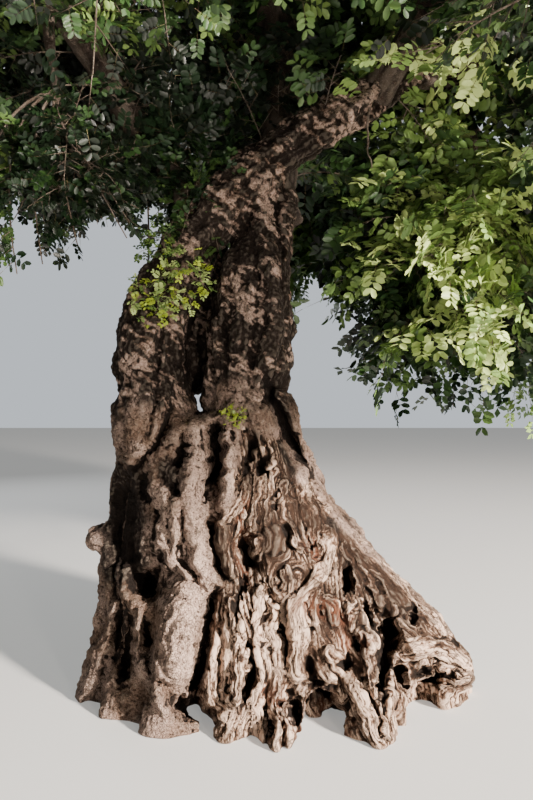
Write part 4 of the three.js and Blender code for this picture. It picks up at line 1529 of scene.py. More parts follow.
    def fibres(self, points: Rows, front: Front) -> Rows:
        """Lays points out so that the fibres run along the last axis, on each strand by itself.

        Args:
            points: Rows of x, y and z.
            front: The same points seen from the front.

        Returns:
            Rows of three.
        """
        laid = self.flow.places(points, front)
        across, up = front.wavered(self.unevenness, Seed.WAVER)
        best = np.full(len(points), 0.006)
        for order, strand in enumerate(STRANDS):
            rows, height, offset, along = strand.stand(across, up)
            if strand.is_knot():
                offset = across[rows] + 0.35 * np.abs(up[rows] - strand.path[0][1] * MM)
            own = np.stack([offset, np.full(len(rows), 3.0 * (order + 1)), along], axis=1)
            wins = height * front.facing[rows] > best[rows]
            laid[rows[wins]] = own[wins]
            best[rows] = np.maximum(best[rows], height * front.facing[rows])
        wander = noise(Seed.STRAND_DRIFT, points, 0.11) * 0.014
        wander += noise(Seed.STRAND_QUIVER, points, 0.045) * 0.006
        laid[:, 0] += wander
        laid[:, 1] += wander
        return laid

    def weather(self, whole: bpy.types.Object) -> None:
        """Works the fine grooves and scales into the skin and stores its masks.

        Args:
            whole: The carved skin.
        """
        mesh = whole.data
        points, normals = points_of(mesh), normals_of(mesh)
        front = Front.of(points, smoothed(whole, self.view_rounds)[1])
        bare = self.bareness(points, front)
        fibres = self.fibres(points, front)
        depth = 0.75 + 0.7 * noise(Seed.GROOVE_DEPTH, points, 0.2)
        grooves = np.full(len(points), 1.0)
        on = bare > 0.01
        grooves[on] = np.sqrt(np.abs(fibrous(Seed.GROOVES, fibres[on], 0.060, 0.50))) * 0.9
        grooves[on] += np.sqrt(np.abs(fibrous(Seed.FINE_GROOVES, fibres[on], 0.034, 0.26))) * 0.75
        grooves[on] += np.abs(fibrous(Seed.FINEST_GROOVES, fibres[on], 0.021, 0.12)) * 0.5
        laid = self.limb_flow.places(points)
        fork = ease(1.45, 1.75, points[:, 2] + 0.1 * noise(Seed.FORK_EDGE, points, 0.2))
        round_limb = np.where(fork[:, None] > 0.5, laid, fibres)
        scales = noise(Seed.SCALES, points, 0.075) * 0.45
        scales += np.abs(noise(Seed.FINE_SCALES, points, 0.034)) * 0.6
        scales += np.abs(fibrous(Seed.LONG_SCALES, round_limb, 0.04, 0.13)) * 0.7
        scales += noise(Seed.CRUMBS, points, 0.021) * 0.35
        wrinkled = np.exp(-(((front.up - 1.34) / 0.12) ** 2))
        wrinkled = wrinkled * ease(-0.30, -0.42, front.across) * front.facing
        ripples = np.abs(fibrous(Seed.RIPPLES, fibres, 0.16, 0.035)) - 0.25
        relief = bare * (grooves - 1.0) * 0.031 * np.clip(depth, 0.35, 1.4)
        relief += (1 - bare) * ((scales - 0.42) * 0.014 + wrinkled * ripples * 0.02)
        at_ground = ease(0.0, 0.03, points[:, 2])
        points = points + normals * (relief * at_ground)[:, None]
        points[:, 2] = np.maximum(points[:, 2], 0)
        set_points(mesh, points)
        fine = smoothed(whole, self.fine_rounds)[0]
        broad = smoothed(whole, self.broad_rounds)[0]
        across, up = front.wavered(self.unevenness, Seed.WAVER)
        seam = np.zeros(len(points))
        for crease in CREASES:
            seam = np.maximum(seam, crease.cut(across, up))
        # The hollow mask is what the finish darkens as painted shade, deepest in the creases.
        hollow = 0.5 + fine / 0.014 + broad / 0.075 + 0.55 * ease(0.012, 0.085, seam * front.facing)
        rot = self.patches(ROTTEN, front)
        rot = np.clip(rot * 1.2 + bare * (broad / 0.045 - 0.35), 0, 1)
        rot *= ease(0.3, 0.7, hollow + 0.15)
        # The tone holds pale and dark wood and painted light: lit and shaded patches, the crown's
        # painted shade over the stems with painted dapples of light, and a painted shadow between
        # the stems.
        tone = 0.5 + 0.5 * self.patches(PALE_AND_LIT_WOOD, front) - 0.5 * self.patches(DARK_AND_SHADED_WOOD, front)
        tone -= fork * (0.44 - 0.92 * self.dapple(points) * (0.6 + 0.7 * front.facing))
        between = np.exp(-(((points[:, 0] + 0.44) / 0.13) ** 2)) * ease(-0.02, 0.10, points[:, 1])
        tone -= 0.7 * between * ease(0.5, 0.35, points[:, 1]) * ease(1.55, 1.75, points[:, 2])
        set_attribute(mesh, Surface.HOLLOW.value, np.clip(hollow, 0, 1))
        set_attribute(mesh, Surface.BARE.value, bare)
        set_attribute(mesh, Surface.ROT.value, rot * np.maximum(bare, 0.3))
        set_attribute(mesh, Surface.TONE.value, tone)
        set_attribute(mesh, Surface.GRAIN.value, round_limb * (1, 1, 0.09))

    @staticmethod
    def dapple(points: Rows) -> Rows:
        """The flecks of light that fall through a crown, slanting and of several sizes.

        Args:
            points: Rows of x, y and z.

        Returns:
            1 in the light and 0 in the shade.
        """
        x, y, z = points.T
        slant = np.stack([0.8 * x - 0.6 * z, y, 0.6 * x + 0.8 * z], axis=1)
        slant = slant + 0.022 * noise(Seed.FLECK_DRIFT, points, 0.11)[:, None]
        light = noise(Seed.FLECKS, slant, (0.105, 0.105, 0.034))
        light = light + 0.85 * noise(Seed.FINE_FLECKS, slant, (0.036, 0.036, 0.015))
        light += 0.95 * noise(Seed.LIGHT, points, 0.27)
        return ease(0.02, 1.15, light)

    def patches(self, lines: tuple[Line, ...], front: Front) -> Rows:
        """Where patches of colour lie.

        Args:
            lines: The patches' middle lines.
            front: The places seen from the front.

        Returns:
            1 in the middle of a patch and 0 away from all of them.
        """
        across, up = front.wavered(((0.022, 0.09), (0.010, 0.035)), Seed.PATCHES)
        found = np.zeros(len(across))
        for line in lines:
            found = np.maximum(found, line.softly(across, up))
        return found * front.facing

    def build(self, material: bpy.types.Material) -> None:
        """Builds the skin and parts it into pieces.

        Args:
            material: The finish.
        """
        whole = self.block()
        self.carve(whole)
        finish_modifier(whole, "REMESH", mode="VOXEL", voxel_size=self.last_voxel)
        finish_modifier(whole, "SMOOTH", factor=0.5, iterations=self.last_rounds)
        choose(whole)
        bpy.ops.object.mode_set(mode="EDIT")
        bpy.ops.mesh.select_all(action="SELECT")
        bpy.ops.mesh.bisect(plane_co=(0, 0, 0), plane_no=(0, 0, 1), use_fill=True, clear_inner=True)
        bpy.ops.object.mode_set(mode="OBJECT")
        self.weather(whole)
        whole.data.materials.clear()
        whole.data.materials.append(material)
        set_attribute(whole.data, WHOLE_NORMAL, normals_of(whole.data))
        heights = (None, *self.cuts, None)
        for name, low, high in zip(self.names, heights[:-1], heights[1:]):
            part = part_between(whole, name, low, high)
            stands_for = self.nodes[:1] if name != "upper_stems" else self.nodes[1:]
            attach(part, "root")
            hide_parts(*stands_for)
            report(part)
        bpy.data.objects.remove(whole)


def report(piece: bpy.types.Object) -> None:
    """Logs a finished piece and its number of triangles."""
    sides = np.zeros(len(piece.data.polygons), np.int32)
    piece.data.polygons.foreach_get("loop_total", sides)
    LOG.info("%s: %d triangles", piece.name, int((sides - 2).sum()))


# ---- the crown ----


CROWN_HEART = np.array((60.0, 130.0, 3000.0))
CROWN_HALF = np.array((4350.0, 4250.0, 3600.0))
LOWEST_LEAF = 1330
LONGEST_LEAF = 700
EDGE = 120  # how far a spray's tip keeps inside the solids' reach
APART = 9  # how far a mass keeps from the middle between it and its neighbour
CLEARANCE = 90  # how far a spray's tip keeps from the boughs
LIMB_GAP_DEPTH = 150  # how far back the gaps in front of the limbs reach
STALK_PAINT = 1  # the number of the stalks' material among the barks


@dataclass(frozen=True)
class Mass:
    """One mass of foliage, with the measures that the part's source gives it, in millimetres."""

    name: str
    bough: str
    heart: Spot
    spread: float = 1500
    rise: float = 1200
    fall: float = 1150
    twigs: int = 6
    leaves: int = 4
    small: float = 1.0
    sprays: int = 15


def crown_masses() -> tuple[Mass, ...]:
    """The masses in the order in which the source grows them.

    Returns:
        Every mass.
    """
    ring, reach, height = [], 1950, 4850
    for number, bearing in enumerate(UPPER_BEARINGS, 1):
        angle = math.radians(bearing)
        heart = (reach * math.cos(angle), reach * math.sin(angle), height)
        names = (f"upper_foliage_{number}", f"upper_bough_{number}")
        ring.append(Mass(*names, heart, 1400, 1050, 950))
    return (
        Mass("right_foliage", "right_bough", (2900, 0, 2950), 1500, 1250, 1550),
        Mass("back_right_foliage", "back_right_bough", (2300, 2150, 3200), 1500, 1250, 1600),
        Mass("back_foliage", "back_bough", (350, 2900, 3850), 1500, 1150, 1050),
        Mass("back_left_foliage", "back_left_bough", (-1780, 2300, 4300), 1500, 1050, 850),
        Mass("left_foliage", "left_bough", (-2850, 400, 3600), 1500, 1200, 1150),
        Mass("front_left_foliage", "front_left_bough", (-2150, -1750, 3350), 1500, 1200, 1100),
        Mass("front_foliage", "front_bough", (-300, -2350, 3600), 1400, 1150, 1150),
        Mass("front_right_foliage", "front_right_bough", (1650, -1950, 3050), 1400, 1250, 1250),
        Mass("inner_right_foliage", "inner_right_bough", (1450, 950, 2900), 1150, 900, 1450),
        Mass("crown_top_foliage", "leader_bough", (60, 200, 5550), 1400, 950, 800),
        *ring,
        Mass(
            "hanging_foliage", "hanging_bough", (-930, -650, 2800), 450, 450, 620, 4, 2, 0.55, 5
        ),
    )


MASSES = crown_masses()


def seeded(seed: int) -> Callable[[], float]:
    """A repeatable source of numbers from 0 to 1, the same as in the part's source.

    Args:
        seed: Where it starts.

    Returns:
        The source.
    """
    state = seed & 0xFFFFFFFF

    def draw() -> float:
        """Draws the next number.

        Returns:
            A number from 0 to 1.
        """
        nonlocal state
        state = (state + 0x6D2B79F5) & 0xFFFFFFFF
        mixed = ((state ^ (state >> 15)) * (1 | state)) & 0xFFFFFFFF
        again = ((mixed ^ (mixed >> 7)) * (61 | mixed)) & 0xFFFFFFFF
        mixed = ((mixed + again) & 0xFFFFFFFF) ^ mixed
        return (mixed ^ (mixed >> 14)) / 4294967296

    return draw


SKY_GAPS = (
    Line(((-950, 2640), (-690, 2440)), 125),
    Line(((-1125, 2290), (-450, 2055)), 200),
    Line(((-1390, 2115), (-1035, 1760)), 285),
    Line(((-685, 2730), (-535, 2525)), 82),
    Line(((300, 2350), (375, 1965)), 59),
    Line(((195, 2905), (210, 2670)), 23),
    Line(((-1475, 2790), (-1390, 2465)), 53),
    Line(((-390, 2055), (-390, 1645)), 82),
    Line(((195, 1880), (430, 1645)), 153),
    Line(((490, 1615), (785, 1410)), 82),
    Line(((1060, 1450), (1120, 1290)), 60),
)
LIMB_GAPS = (
    Line(((-260, 2790), (-25, 3025), (225, 3200), (490, 3335), (645, 3475)), 141),
    Line(((-185, 2585), (-95, 2055), (-125, 1645)), 258),
    Line(((-625, 2055), (-685, 1645)), 258),
    Line(((-330, 2525), (-360, 2230)), 117),
)


def in_space(mass: Mass, points: Rows, edge: bool = True) -> Rows:
    """Whether points are in a mass's own space: in its ellipsoid and the crown's, and nearer to it
    than to each other mass.

    Args:
        mass: The mass.
        points: Rows of x, y and z in millimetres.
        edge: Whether the points keep inside the reach of the solids too.

    Returns:
        True for each point in the space.
    """
    heart = np.array(mass.heart)
    height = np.where(points[:, 2] > heart[2], mass.rise, mass.fall)
    half = np.stack([np.full(len(points), mass.spread)] * 2 + [height], axis=1)
    inside = np.linalg.norm((points - heart) / half, axis=1) <= 1
    inside &= np.linalg.norm((points - CROWN_HEART) / CROWN_HALF, axis=1) <= 1
    inside &= points[:, 2] >= LOWEST_LEAF
    mine = ((points - heart) ** 2).sum(axis=1) - mass.spread**2
    for other in MASSES:
        if other is mass:
            continue
        theirs = ((points - other.heart) ** 2).sum(axis=1) - other.spread**2
        apart = np.linalg.norm(heart - other.heart)
        inside &= (theirs - mine) / (2 * apart) > APART
    if edge:
        low, high = (np.array(corner) / MM for corner in cad_box)
        inside &= ((points > low + EDGE) & (points < high - EDGE)).all(axis=1)
    return inside


def in_the_open(points: Rows) -> Rows:
    """Whether points lie in a gap of the crown, through which sky or the bare limbs are seen.

    Args:
        points: Rows of x, y and z in millimetres.

    Returns:
        True for each point in a gap.
    """
    across, up = seen_from_front(points)
    found = np.zeros(len(points), bool)
    for gap in SKY_GAPS:
        found |= gap.covers(across, up)
    for gap in LIMB_GAPS:
        found |= gap.covers(across, up) & (points[:, 1] < LIMB_GAP_DEPTH)
    return found


def space_along(mass: Mass, way: Rows) -> float:
    """How far a mass's space goes on from its heart in a direction.

    Args:
        mass: The mass.
        way: The direction.

    Returns:
        The distance in millimetres.
    """
    step, furthest = 40.0, 8000.0
    steps = np.arange(1, furthest / step) * step
    inside = in_space(mass, np.array(mass.heart) + steps[:, None] * way, edge=False)
    return float(np.argmin(inside) * step) if not inside.all() else furthest


@dataclass(frozen=True)
class Bends:
    """Many curves with one bend each: where they start, bend and end, in rows."""

    start: Rows
    bend: Rows
    end: Rows

    def at(self, share: Rows) -> Rows:
        """A point on each curve.

        Args:
            share: How far along each, from 0 to 1.

        Returns:
            Rows of x, y and z.
        """
        t = np.asarray(share, float)[..., None]
        return (1 - t) ** 2 * self.start + 2 * t * (1 - t) * self.bend + t**2 * self.end

    def along(self, share: Rows) -> Rows:
        """The way that each curve runs at a point on it.

        Args:
            share: How far along each, from 0 to 1.

        Returns:
            Rows of length 1.
        """
        t = np.asarray(share, float)[..., None]
        return unit(2 * (1 - t) * (self.bend - self.start) + 2 * t * (self.end - self.bend))

    def repeated(self, rows: Rows) -> "Bends":
        """The curves in some rows, one for each entry."""
        return Bends(self.start[rows], self.bend[rows], self.end[rows])


def arched(at: Rows, way: Rows, reach: Rows, rise: float, sag: float) -> Bends:
    """Curves that rise a little in the middle and sag at the tip.

    Args:
        at: Where they start.
        way: The way that each runs.
        reach: How long each is.
        rise: How far the middle rises, as a share of the length.
        sag: How far the tip sags, as a share of the length.

    Returns:
        The curves.
    """
    run, lift = way * reach[:, None], np.zeros_like(at)
    lift[:, 2] = reach
    return Bends(at, at + run * 0.5 + lift * rise, at + run - lift * sag)


def turned(ways: Rows, axes: Rows, angles: Rows) -> Rows:
    """Turns each way about its axis.

    Args:
        ways: Rows to turn.
        axes: The axes, of length 1.
        angles: How far, in radians.

    Returns:
        The turned rows.
    """
    c, s = np.cos(angles)[:, None], np.sin(angles)[:, None]
    dot = np.einsum("ij,ij->i", axes, ways)[:, None]
    return ways * c + np.cross(axes, ways) * s + axes * dot * (1 - c)


def flattened(ways: Rows, axes: Rows) -> Rows:
    """Each way with what lies along its axis taken off, at length 1."""
    return unit(ways - axes * np.einsum("ij,ij->i", axes, ways)[:, None])


class Tint(Enum):
    """The leaf colours dealt out, from painted deep shade to painted sunlight and new growth, and
    the shoots'.
    """

    SHADE = (0.003, 0.007, 0.002, 1)
    DEEP = (0.008, 0.022, 0.007, 1)
    MIDDLE = (0.026, 0.062, 0.015, 1)
    OLIVE = (0.070, 0.128, 0.032, 1)
    FRESH = (0.160, 0.260, 0.062, 1)
    YOUNG = (0.420, 0.540, 0.180, 1)
    SPRING = (0.36, 0.46, 0.045, 1)


def seen_from_front(points: Rows) -> tuple[Rows, Rows]:
    """Where the eye in front sees points given in millimetres, in metres right and up."""
    return projected(points * MM, nearest=0.3)


def dealt_tints(points: Rows, chance: Rows) -> Rows:
    """Deals a colour to each spray: more shade to the left and within, more light to the right.

    Args:
        points: Where the sprays are, in millimetres.
        chance: A draw from 0 to 1 for each.

    Returns:
        The number of each spray's colour.
    """
    across, up = seen_from_front(points)
    outward = np.linalg.norm((points - CROWN_HEART) / CROWN_HALF, axis=1)
    near = (np.abs(across) < 1.5) & (up < 3.8) & (points[:, 1] < 700)
    light = 0.34 - 0.50 * ease(0.35, -0.7, across) * near + 0.10 * ease(0.6, 0.95, outward)
    light += near * ease(0.30, 1.0, across) * (0.38 + 0.10 * outward)
    light -= 0.16 * near * ease(0.8, 0.3, np.abs(across)) * ease(2.7, 3.1, up)
    draw = chance ** (1.25 - light) * (0.55 + 0.75 * light)
    dealt = len(Tint) - 1
    return np.clip((draw * dealt).astype(int), 0, dealt - 1)


@dataclass
class MeshStore:
    """Gathers the corners and faces of many small shapes for one joined mesh."""

    points: list[Rows] = field(default_factory=list)
    faces: list[Rows] = field(default_factory=list)
    paints: list[Rows] = field(default_factory=list)
    count: int = 0
    triangles: int = 0

    def add(self, points: Rows, faces: Rows, paint: Rows | int = 0) -> None:
        """Adds shapes.

        Args:
            points: Rows of x, y and z, in millimetres.
            faces: Rows of corner numbers into points, all of one length.
            paint: The number of each face's material.
        """
        self.points.append(points.reshape(-1, 3) * MM)
        self.faces.append(faces + self.count)
        self.paints.append(np.broadcast_to(paint, len(faces)))
        self.count += points.size // 3
        self.triangles += len(faces) * (faces.shape[1] - 2)

    def close(self, faces: Rows) -> None:
        """Adds end faces, with the first material, whose corners are there already."""
        self.faces.append(faces)
        self.paints.append(np.zeros(len(faces), int))
        self.triangles += len(faces) * (faces.shape[1] - 2)

    def take(self, other: "MeshStore") -> None:
        """Adds all that another store holds.

        Args:
            other: The other store.
        """
        self.points.extend(other.points)
        self.faces.extend(faces + self.count for faces in other.faces)
        self.paints.extend(other.paints)
        self.count += other.count
        self.triangles += other.triangles

    def piece(self, name: str, materials: list[bpy.types.Material]) -> bpy.types.Object:
        """Joins what was gathered in one object.

        Args:
            name: The object's name.
            materials: Its materials, in the order of the paint numbers.

        Returns:
            The new piece.
        """
        mesh = bpy.data.meshes.new(name)
        sizes = np.concatenate([np.full(len(f), f.shape[1]) for f in self.faces])
        corners = np.concatenate([f.ravel() for f in self.faces])
        mesh.vertices.add(self.count)
        mesh.vertices.foreach_set("co", np.concatenate(self.points).astype(np.float32).ravel())
        mesh.loops.add(len(corners))
        mesh.loops.foreach_set("vertex_index", corners.astype(np.int32))
        mesh.polygons.add(len(sizes))
        starts = np.concatenate([[0], np.cumsum(sizes)[:-1]])
        mesh.polygons.foreach_set("loop_start", starts.astype(np.int32))
        for material in materials:
            mesh.materials.append(material)
        mesh.polygons.foreach_set("material_index", np.concatenate(self.paints).astype(np.int32))
        mesh.update(calc_edges=True)
        made = bpy.data.objects.new(name, mesh)
        bpy.context.scene.collection.objects.link(made)
        return made


def circles(along: Rows, sides: int) -> Rows:
    """Points on a circle of radius 1 round each way.

    Args:
        along: The ways, as rows.
        sides: How many points each circle has.

    Returns:
        The circles' points, one circle a row.
    """
    across = flattened(np.tile((0.31, 0.2, 0.93), (len(along), 1)), along)
    return ring_points(across, np.cross(along, across), np.arange(sides) * 2 * math.pi / sides)


def ring_points(across: Rows, over: Rows, angle: Rows) -> Rows:
    """Points at some angles between two ways, one circle for each row of ways.

    Args:
        across: The ways at angle 0.
        over: The ways at a right angle to them.
        angle: The angles.

    Returns:
        The circles' points.
    """
    right = across[:, None] * np.cos(angle)[None, :, None]
    return right + over[:, None] * np.sin(angle)[None, :, None]


def add_tubes(
    store: MeshStore, curves: Bends, thick: Rows, thin: Rows, sides: int, steps: int
) -> None:
    """Adds a closed tapering tube along each curve.

    Args:
        store: Where they go.
        curves: The curves.
        thick: Each tube's radius at its start.
        thin: Each tube's radius at its end.
        sides: How many sides each has.
        steps: How many steps along each.
    """
    count = len(curves.start)
    if not count:
        return
    rings = []
    for step in range(steps + 1):
        share = np.full(count, step / steps)
        radius = (thick + (thin - thick) * step / steps)[:, None, None]
        rings.append(curves.at(share)[:, None] + radius * circles(curves.along(share), sides))
    points = np.stack(rings, axis=1)
    base = np.arange(count)[:, None] * (steps + 1) * sides
    quads = []
    for low, side in itertools.product(range(0, steps * sides, sides), range(sides)):
        after, high = (side + 1) % sides, low + sides
        quads.append(base + np.array([low + side, low + after, high + after, high + side]))
    first = store.count
    store.add(points, np.concatenate(quads))
    start, end = base + np.arange(sides)[::-1], base + steps * sides + np.arange(sides)
    store.close(np.concatenate([start, end]) + first)


def add_spikes(store: MeshStore, curves: Bends, thick: Rows) -> None:
    """Adds a closed three-sided spike along each curve.

    Args:
        store: Where they go.
        curves: The curves.
        thick: Each spike's radius at its start.
    """
    along = unit(curves.end - curves.start)
    ring = curves.start[:, None] + thick[:, None, None] * circles(along, 3)
    points = np.concatenate([ring, curves.end[:, None]], axis=1)
    base = np.arange(len(along))[:, None, None] * 4
    sides = np.array([[0, 1, 3], [1, 2, 3], [2, 0, 3], [2, 1, 0]])
    store.add(points, (base + sides).reshape(-1, 3))


@dataclass(frozen=True)
class LeafShape:
    """A compound leaf: pairs of rounded leaflets along a stalk, in millimetres."""

    length: float = 128
    leaflet: float = 56
    width: float = 0.56
    fold: float = 0.13
    droop: float = 0.10

    def outline(self, detail: int) -> tuple[Rows, Rows]:
        """One leaflet, with its base at 0 and its tip at 1 along x.

        Args:
            detail: 0 for one face, 1 for two faces, 2 for two finer faces.

        Returns:
            Its corners and its faces.
        """
        if detail == 0:
            wide = 0.5 * self.width * 1.12
            rise = self.fold * wide
            corners = [(0, 0, 0), (0.5, -wide, rise), (1, 0, -self.droop), (0.58, wide, rise)]
            return np.array(corners), np.array([[0, 1, 2, 3]])
        two, three = ((0.36, 0.47), (0.80, 0.42)), ((0.22, 0.34), (0.56, 0.50), (0.86, 0.36))
        half = two if detail == 1 else three
        side = [
            (x, y * self.width, y * self.width * 2 * self.fold - x * x * self.droop)
            for x, y in half
        ]
        corners = [(0, 0, 0), *side, (1, 0, -self.droop), *[(x, -y, z) for x, y, z in side[::-1]]]
        count = len(half)
        first = list(range(count + 2))
        second = [0, count + 1, *range(count + 2, 2 * count + 2)]
        return np.array(corners), np.array([first[::-1], second[::-1]])


@dataclass(frozen=True)
class Leaves:
    """Compound leaves in rows: feet, ways, faces, sizes and the numbers of their colours."""

    at: Rows
    way: Rows
    face: Rows
    size: Rows
    paint: Rows

    def some(self, rows: Rows) -> "Leaves":
        """The leaves in some rows."""
        columns = (self.at, self.way, self.face, self.size, self.paint)
        return Leaves(*(column[rows] for column in columns))


@dataclass
class Crown:
    """All the masses of foliage: stems, twigs, sprays, twiglets and compound leaves."""

    shape: LeafShape = field(default_factory=LeafShape)
    twiglets: int = 8
    near: float = 2.2
    middling: float = 5.1
    distances: tuple[float, ...] = (1.2, 2.0, 3.0, 3.7, 4.6)
    sizes: tuple[float, ...] = (0.46, 0.56, 0.80, 1.0, 1.3)
    inner_step: float = 80
    leafier: tuple[str, ...] = ("left_bough", "front_left_bough")
    inner: dict[str, float] = field(
        default_factory=lambda: {
            "main_bough": 0.66,
            **{name: 0.08 for name in BOUGHS if name != "hanging_bough"},
        }
    )
    trial_sizes: tuple[float, ...] = (0.34, 0.48, 0.62, 0.76, 0.9, 1.0)
    shortest_spray: float = 190
    shortest_twiglet: float = 60
    longest_twiglet: float = 330
    leaf_step: float = 62
    limit: int = 196000
    mass_seed: int = 7000
    inner_seed: int = 6000
    hanging_seed: int = 6500

    def __post_init__(self) -> None:
        """Lays out every limb, so that sprays keep clear of them."""
        curves = {**STEMS, **BOUGHS}
        shares = np.linspace(0, 1, 40)
        self.limb_points = np.concatenate([limb.at(shares) for limb in curves.values()])
        self.limb_radii = np.concatenate([limb.radius(shares) for limb in curves.values()])

    def clear(self, points: Rows) -> Rows:
        """Whether points keep clear of the stems and boughs.

        Args:
            points: Rows of x, y and z in millimetres.

        Returns:
            True where they do.
        """
        gaps = np.linalg.norm(points[:, None] - self.limb_points[None], axis=2) - self.limb_radii
        return gaps.min(axis=1) > CLEARANCE

    def stem(self, mass: Mass) -> tuple[Bends, Rows, float]:
        """A mass's stem, from the tip of its bough by its heart and some way beyond.

        Args:
            mass: The mass.

        Returns:
            The curve, the way that it goes on, and the bough's radius at its tip.
        """
        bough = BOUGHS[mass.bough]
        foot, before = bough.at(np.array([1.0, 0.999]))
        start = unit(foot - before)
        heart = np.array(mass.heart)
        onward = unit(heart - foot)
        end = heart + onward * 0.4 * space_along(mass, onward)
        bend = foot + start * 0.45 * np.linalg.norm(heart - foot)
        return Bends(foot[None], bend[None], end[None]), onward, bough.radii[-1]

    def twigs(self, mass: Mass, order: int, stem: Bends, onward: Rows) -> Bends:
        """The twigs of a mass, as the source grows them.

        Args:
            mass: The mass.
            order: Its place among the masses.
            stem: Its stem.
            onward: The way that the stem goes on.

        Returns:
            A curve for each twig.
        """
        random = seeded(101 + 17 * order)
        heart = np.array(mass.heart)
        yaw = random() * 2 * math.pi
        index = np.arange(mass.twigs)
        up = 1 - 2 * (index + 0.5) / mass.twigs
        flat, bearing = np.sqrt(1 - up * up), yaw + index * GOLDEN
        ways = np.stack([flat * np.cos(bearing), flat * np.sin(bearing), up], axis=1)
        ways = ways[np.argsort(ways @ onward, kind="stable")]
        bare = 0.3
        while bare < 0.8 and not in_space(mass, stem.at(np.array([bare])), edge=False)[0]:
            bare += 0.05
        rows = []
        for i, way in enumerate(ways):
            base = stem.at(np.array([bare + (1 - bare) * (i + 0.5) / mass.twigs]))[0]
            room = space_along(mass, way)
            short = LONGEST_LEAF * mass.small * (1.02 + 0.2 * random())
            tip = heart + way * max(0.35 * room, room - short)
            bend = (base + tip) / 2 + (0, 0, 0.14 * np.linalg.norm(tip - base))
            rows.append((base, bend, tip))
            for _ in range(2 * (mass.leaves + 1)):
                random()
        start, bend, end = (np.array(column) for column in zip(*rows))
        return Bends(start, bend, end)

    def sprays(
        self, mass: Mass, twigs: Bends, dice: np.random.Generator
    ) -> tuple[Bends, Rows, Rows]:
        """The sprays of a mass: they stand round its twigs by the golden angle, as leaves do.

        Args:
            mass: The mass.
            twigs: The curves that they stand on.
            dice: The source of chance.

        Returns:
            Their middle lines, their faces and their lengths.
        """
        count = len(twigs.start)
        row = np.repeat(np.arange(count), mass.sprays)
        turn = np.tile(np.arange(mass.sprays), count)
        last = turn == mass.sprays - 1
        share = np.where(last, 1, 0.2 + 0.76 * turn / (mass.sprays - 1))
        own = twigs.repeated(row)
        at, along = own.at(share), own.along(share)
        side = unit(np.cross(np.tile((0.0, 0.0, 1.0), (len(at), 1)), along))
        side = turned(side, along, (turn + dice.random(len(at)) * 0.7) * GOLDEN)
        way = along * np.where(last, 1, 0.5)[:, None] + side * np.where(last, 0.1, 0.85)[:, None]
        way = unit(way + (0, 0, -0.12))
        length = LONGEST_LEAF * mass.small * (1.05 + 0.3 * dice.random(len(at)))
        fits = np.zeros(len(at), bool)
        reach = np.zeros(len(at))
        for size in self.trial_sizes:
            ok = length * size > self.shortest_spray * mass.small
            ok &= in_space(mass, at + way * (length * size + 60)[:, None])
            ok &= in_space(mass, at + way * (length * size * 0.6)[:, None])
            ok &= self.clear(at + way * (length * size)[:, None])
            ok &= ~in_the_open(at + way * (length * size * 0.8)[:, None])
            reach = np.where(ok, length * size, reach)
            fits |= ok
        at, way, reach, row = at[fits], way[fits], reach[fits], row[fits]
        outward = unit(at - np.array(mass.heart)) + (0, 0, 0.7)
        return arched(at, way, reach, 0.05, 0.08), flattened(outward, way), reach

    def shoots(
        self, sprays: Bends, face: Rows, reach: Rows, dice: np.random.Generator
    ) -> tuple[Bends, Rows, Rows]:
        """The twiglets of the sprays, on either side in turn, and one at the end of each.

        Args:
            sprays: The sprays' middle lines.
            face: Their faces.
            reach: Their lengths.
            dice: The source of chance.

        Returns:
            The twiglets' middle lines, their faces and the spray that each is on.
        """
        count = self.twiglets
        row = np.repeat(np.arange(len(reach)), count)
        turn = np.tile(np.arange(count), len(reach))
        last = turn == count - 1
        steps = 0.10 + 0.8 * (turn + 0.5 * dice.random(len(row))) / (count - 1)
        share = np.where(last, 0.96, steps)
        own = sprays.repeated(row)
        at, along = own.at(share), own.along(share)
        side = np.cross(face[row], along) * np.where(turn % 2, 1, -1)[:, None]
        way = along * np.where(last, 1, 0.62)[:, None] + side * np.where(last, 0.05, 0.8)[:, None]
        way = unit(way + face[row] * (dice.random(len(row))[:, None] - 0.45) * 0.9)
        length = reach[row] * (0.46 - 0.24 * share) * (0.75 + 0.5 * dice.random(len(row)))
        length = np.clip(length, self.shortest_twiglet, self.longest_twiglet)
        bud_face = flattened(face[row] + (0, 0, 0.35), way)
        return arched(at, way, length, 0.06, 0.06), bud_face, row

    def leaves(
        self, twiglets: Bends, face: Rows, dice: np.random.Generator
    ) -> tuple[Rows, Rows, Rows, Rows]:
        """The compound leaves of the twiglets, on either side in turn, and one at each end.

        Args:
            twiglets: The twiglets' middle lines.
            face: Their faces.
            dice: The source of chance.

        Returns:
            The leaves' feet, ways and faces, and the twiglet that each is on.
        """
        length = np.linalg.norm(twiglets.end - twiglets.start, axis=1)
        per = np.clip(np.round(length / self.leaf_step).astype(int), 2, 4)
        row = np.repeat(np.arange(len(per)), per)
        turn = np.concatenate([np.arange(n) for n in per])
        last = turn == per[row] - 1
        share = np.where(last, 1, 0.3 + 0.7 * turn / np.maximum(per[row] - 1, 1) - 0.1)
        own = twiglets.repeated(row)
        at, along = own.at(share), own.along(share)
        side = np.cross(face[row], along) * np.where((turn + row) % 2, 1, -1)[:, None]
        spin = (dice.random((len(row), 3)) - 0.5) * 0.7
        way = along * np.where(last, 1, 0.45)[:, None] + side * np.where(last, 0.1, 0.85)[:, None]
        way = unit(way + spin)
        up = face[row] * 0.5 + (0.1, -0.15, 0.6) + (dice.random((len(row), 3)) - 0.5) * 1.7
        return at, way, flattened(up, way), row

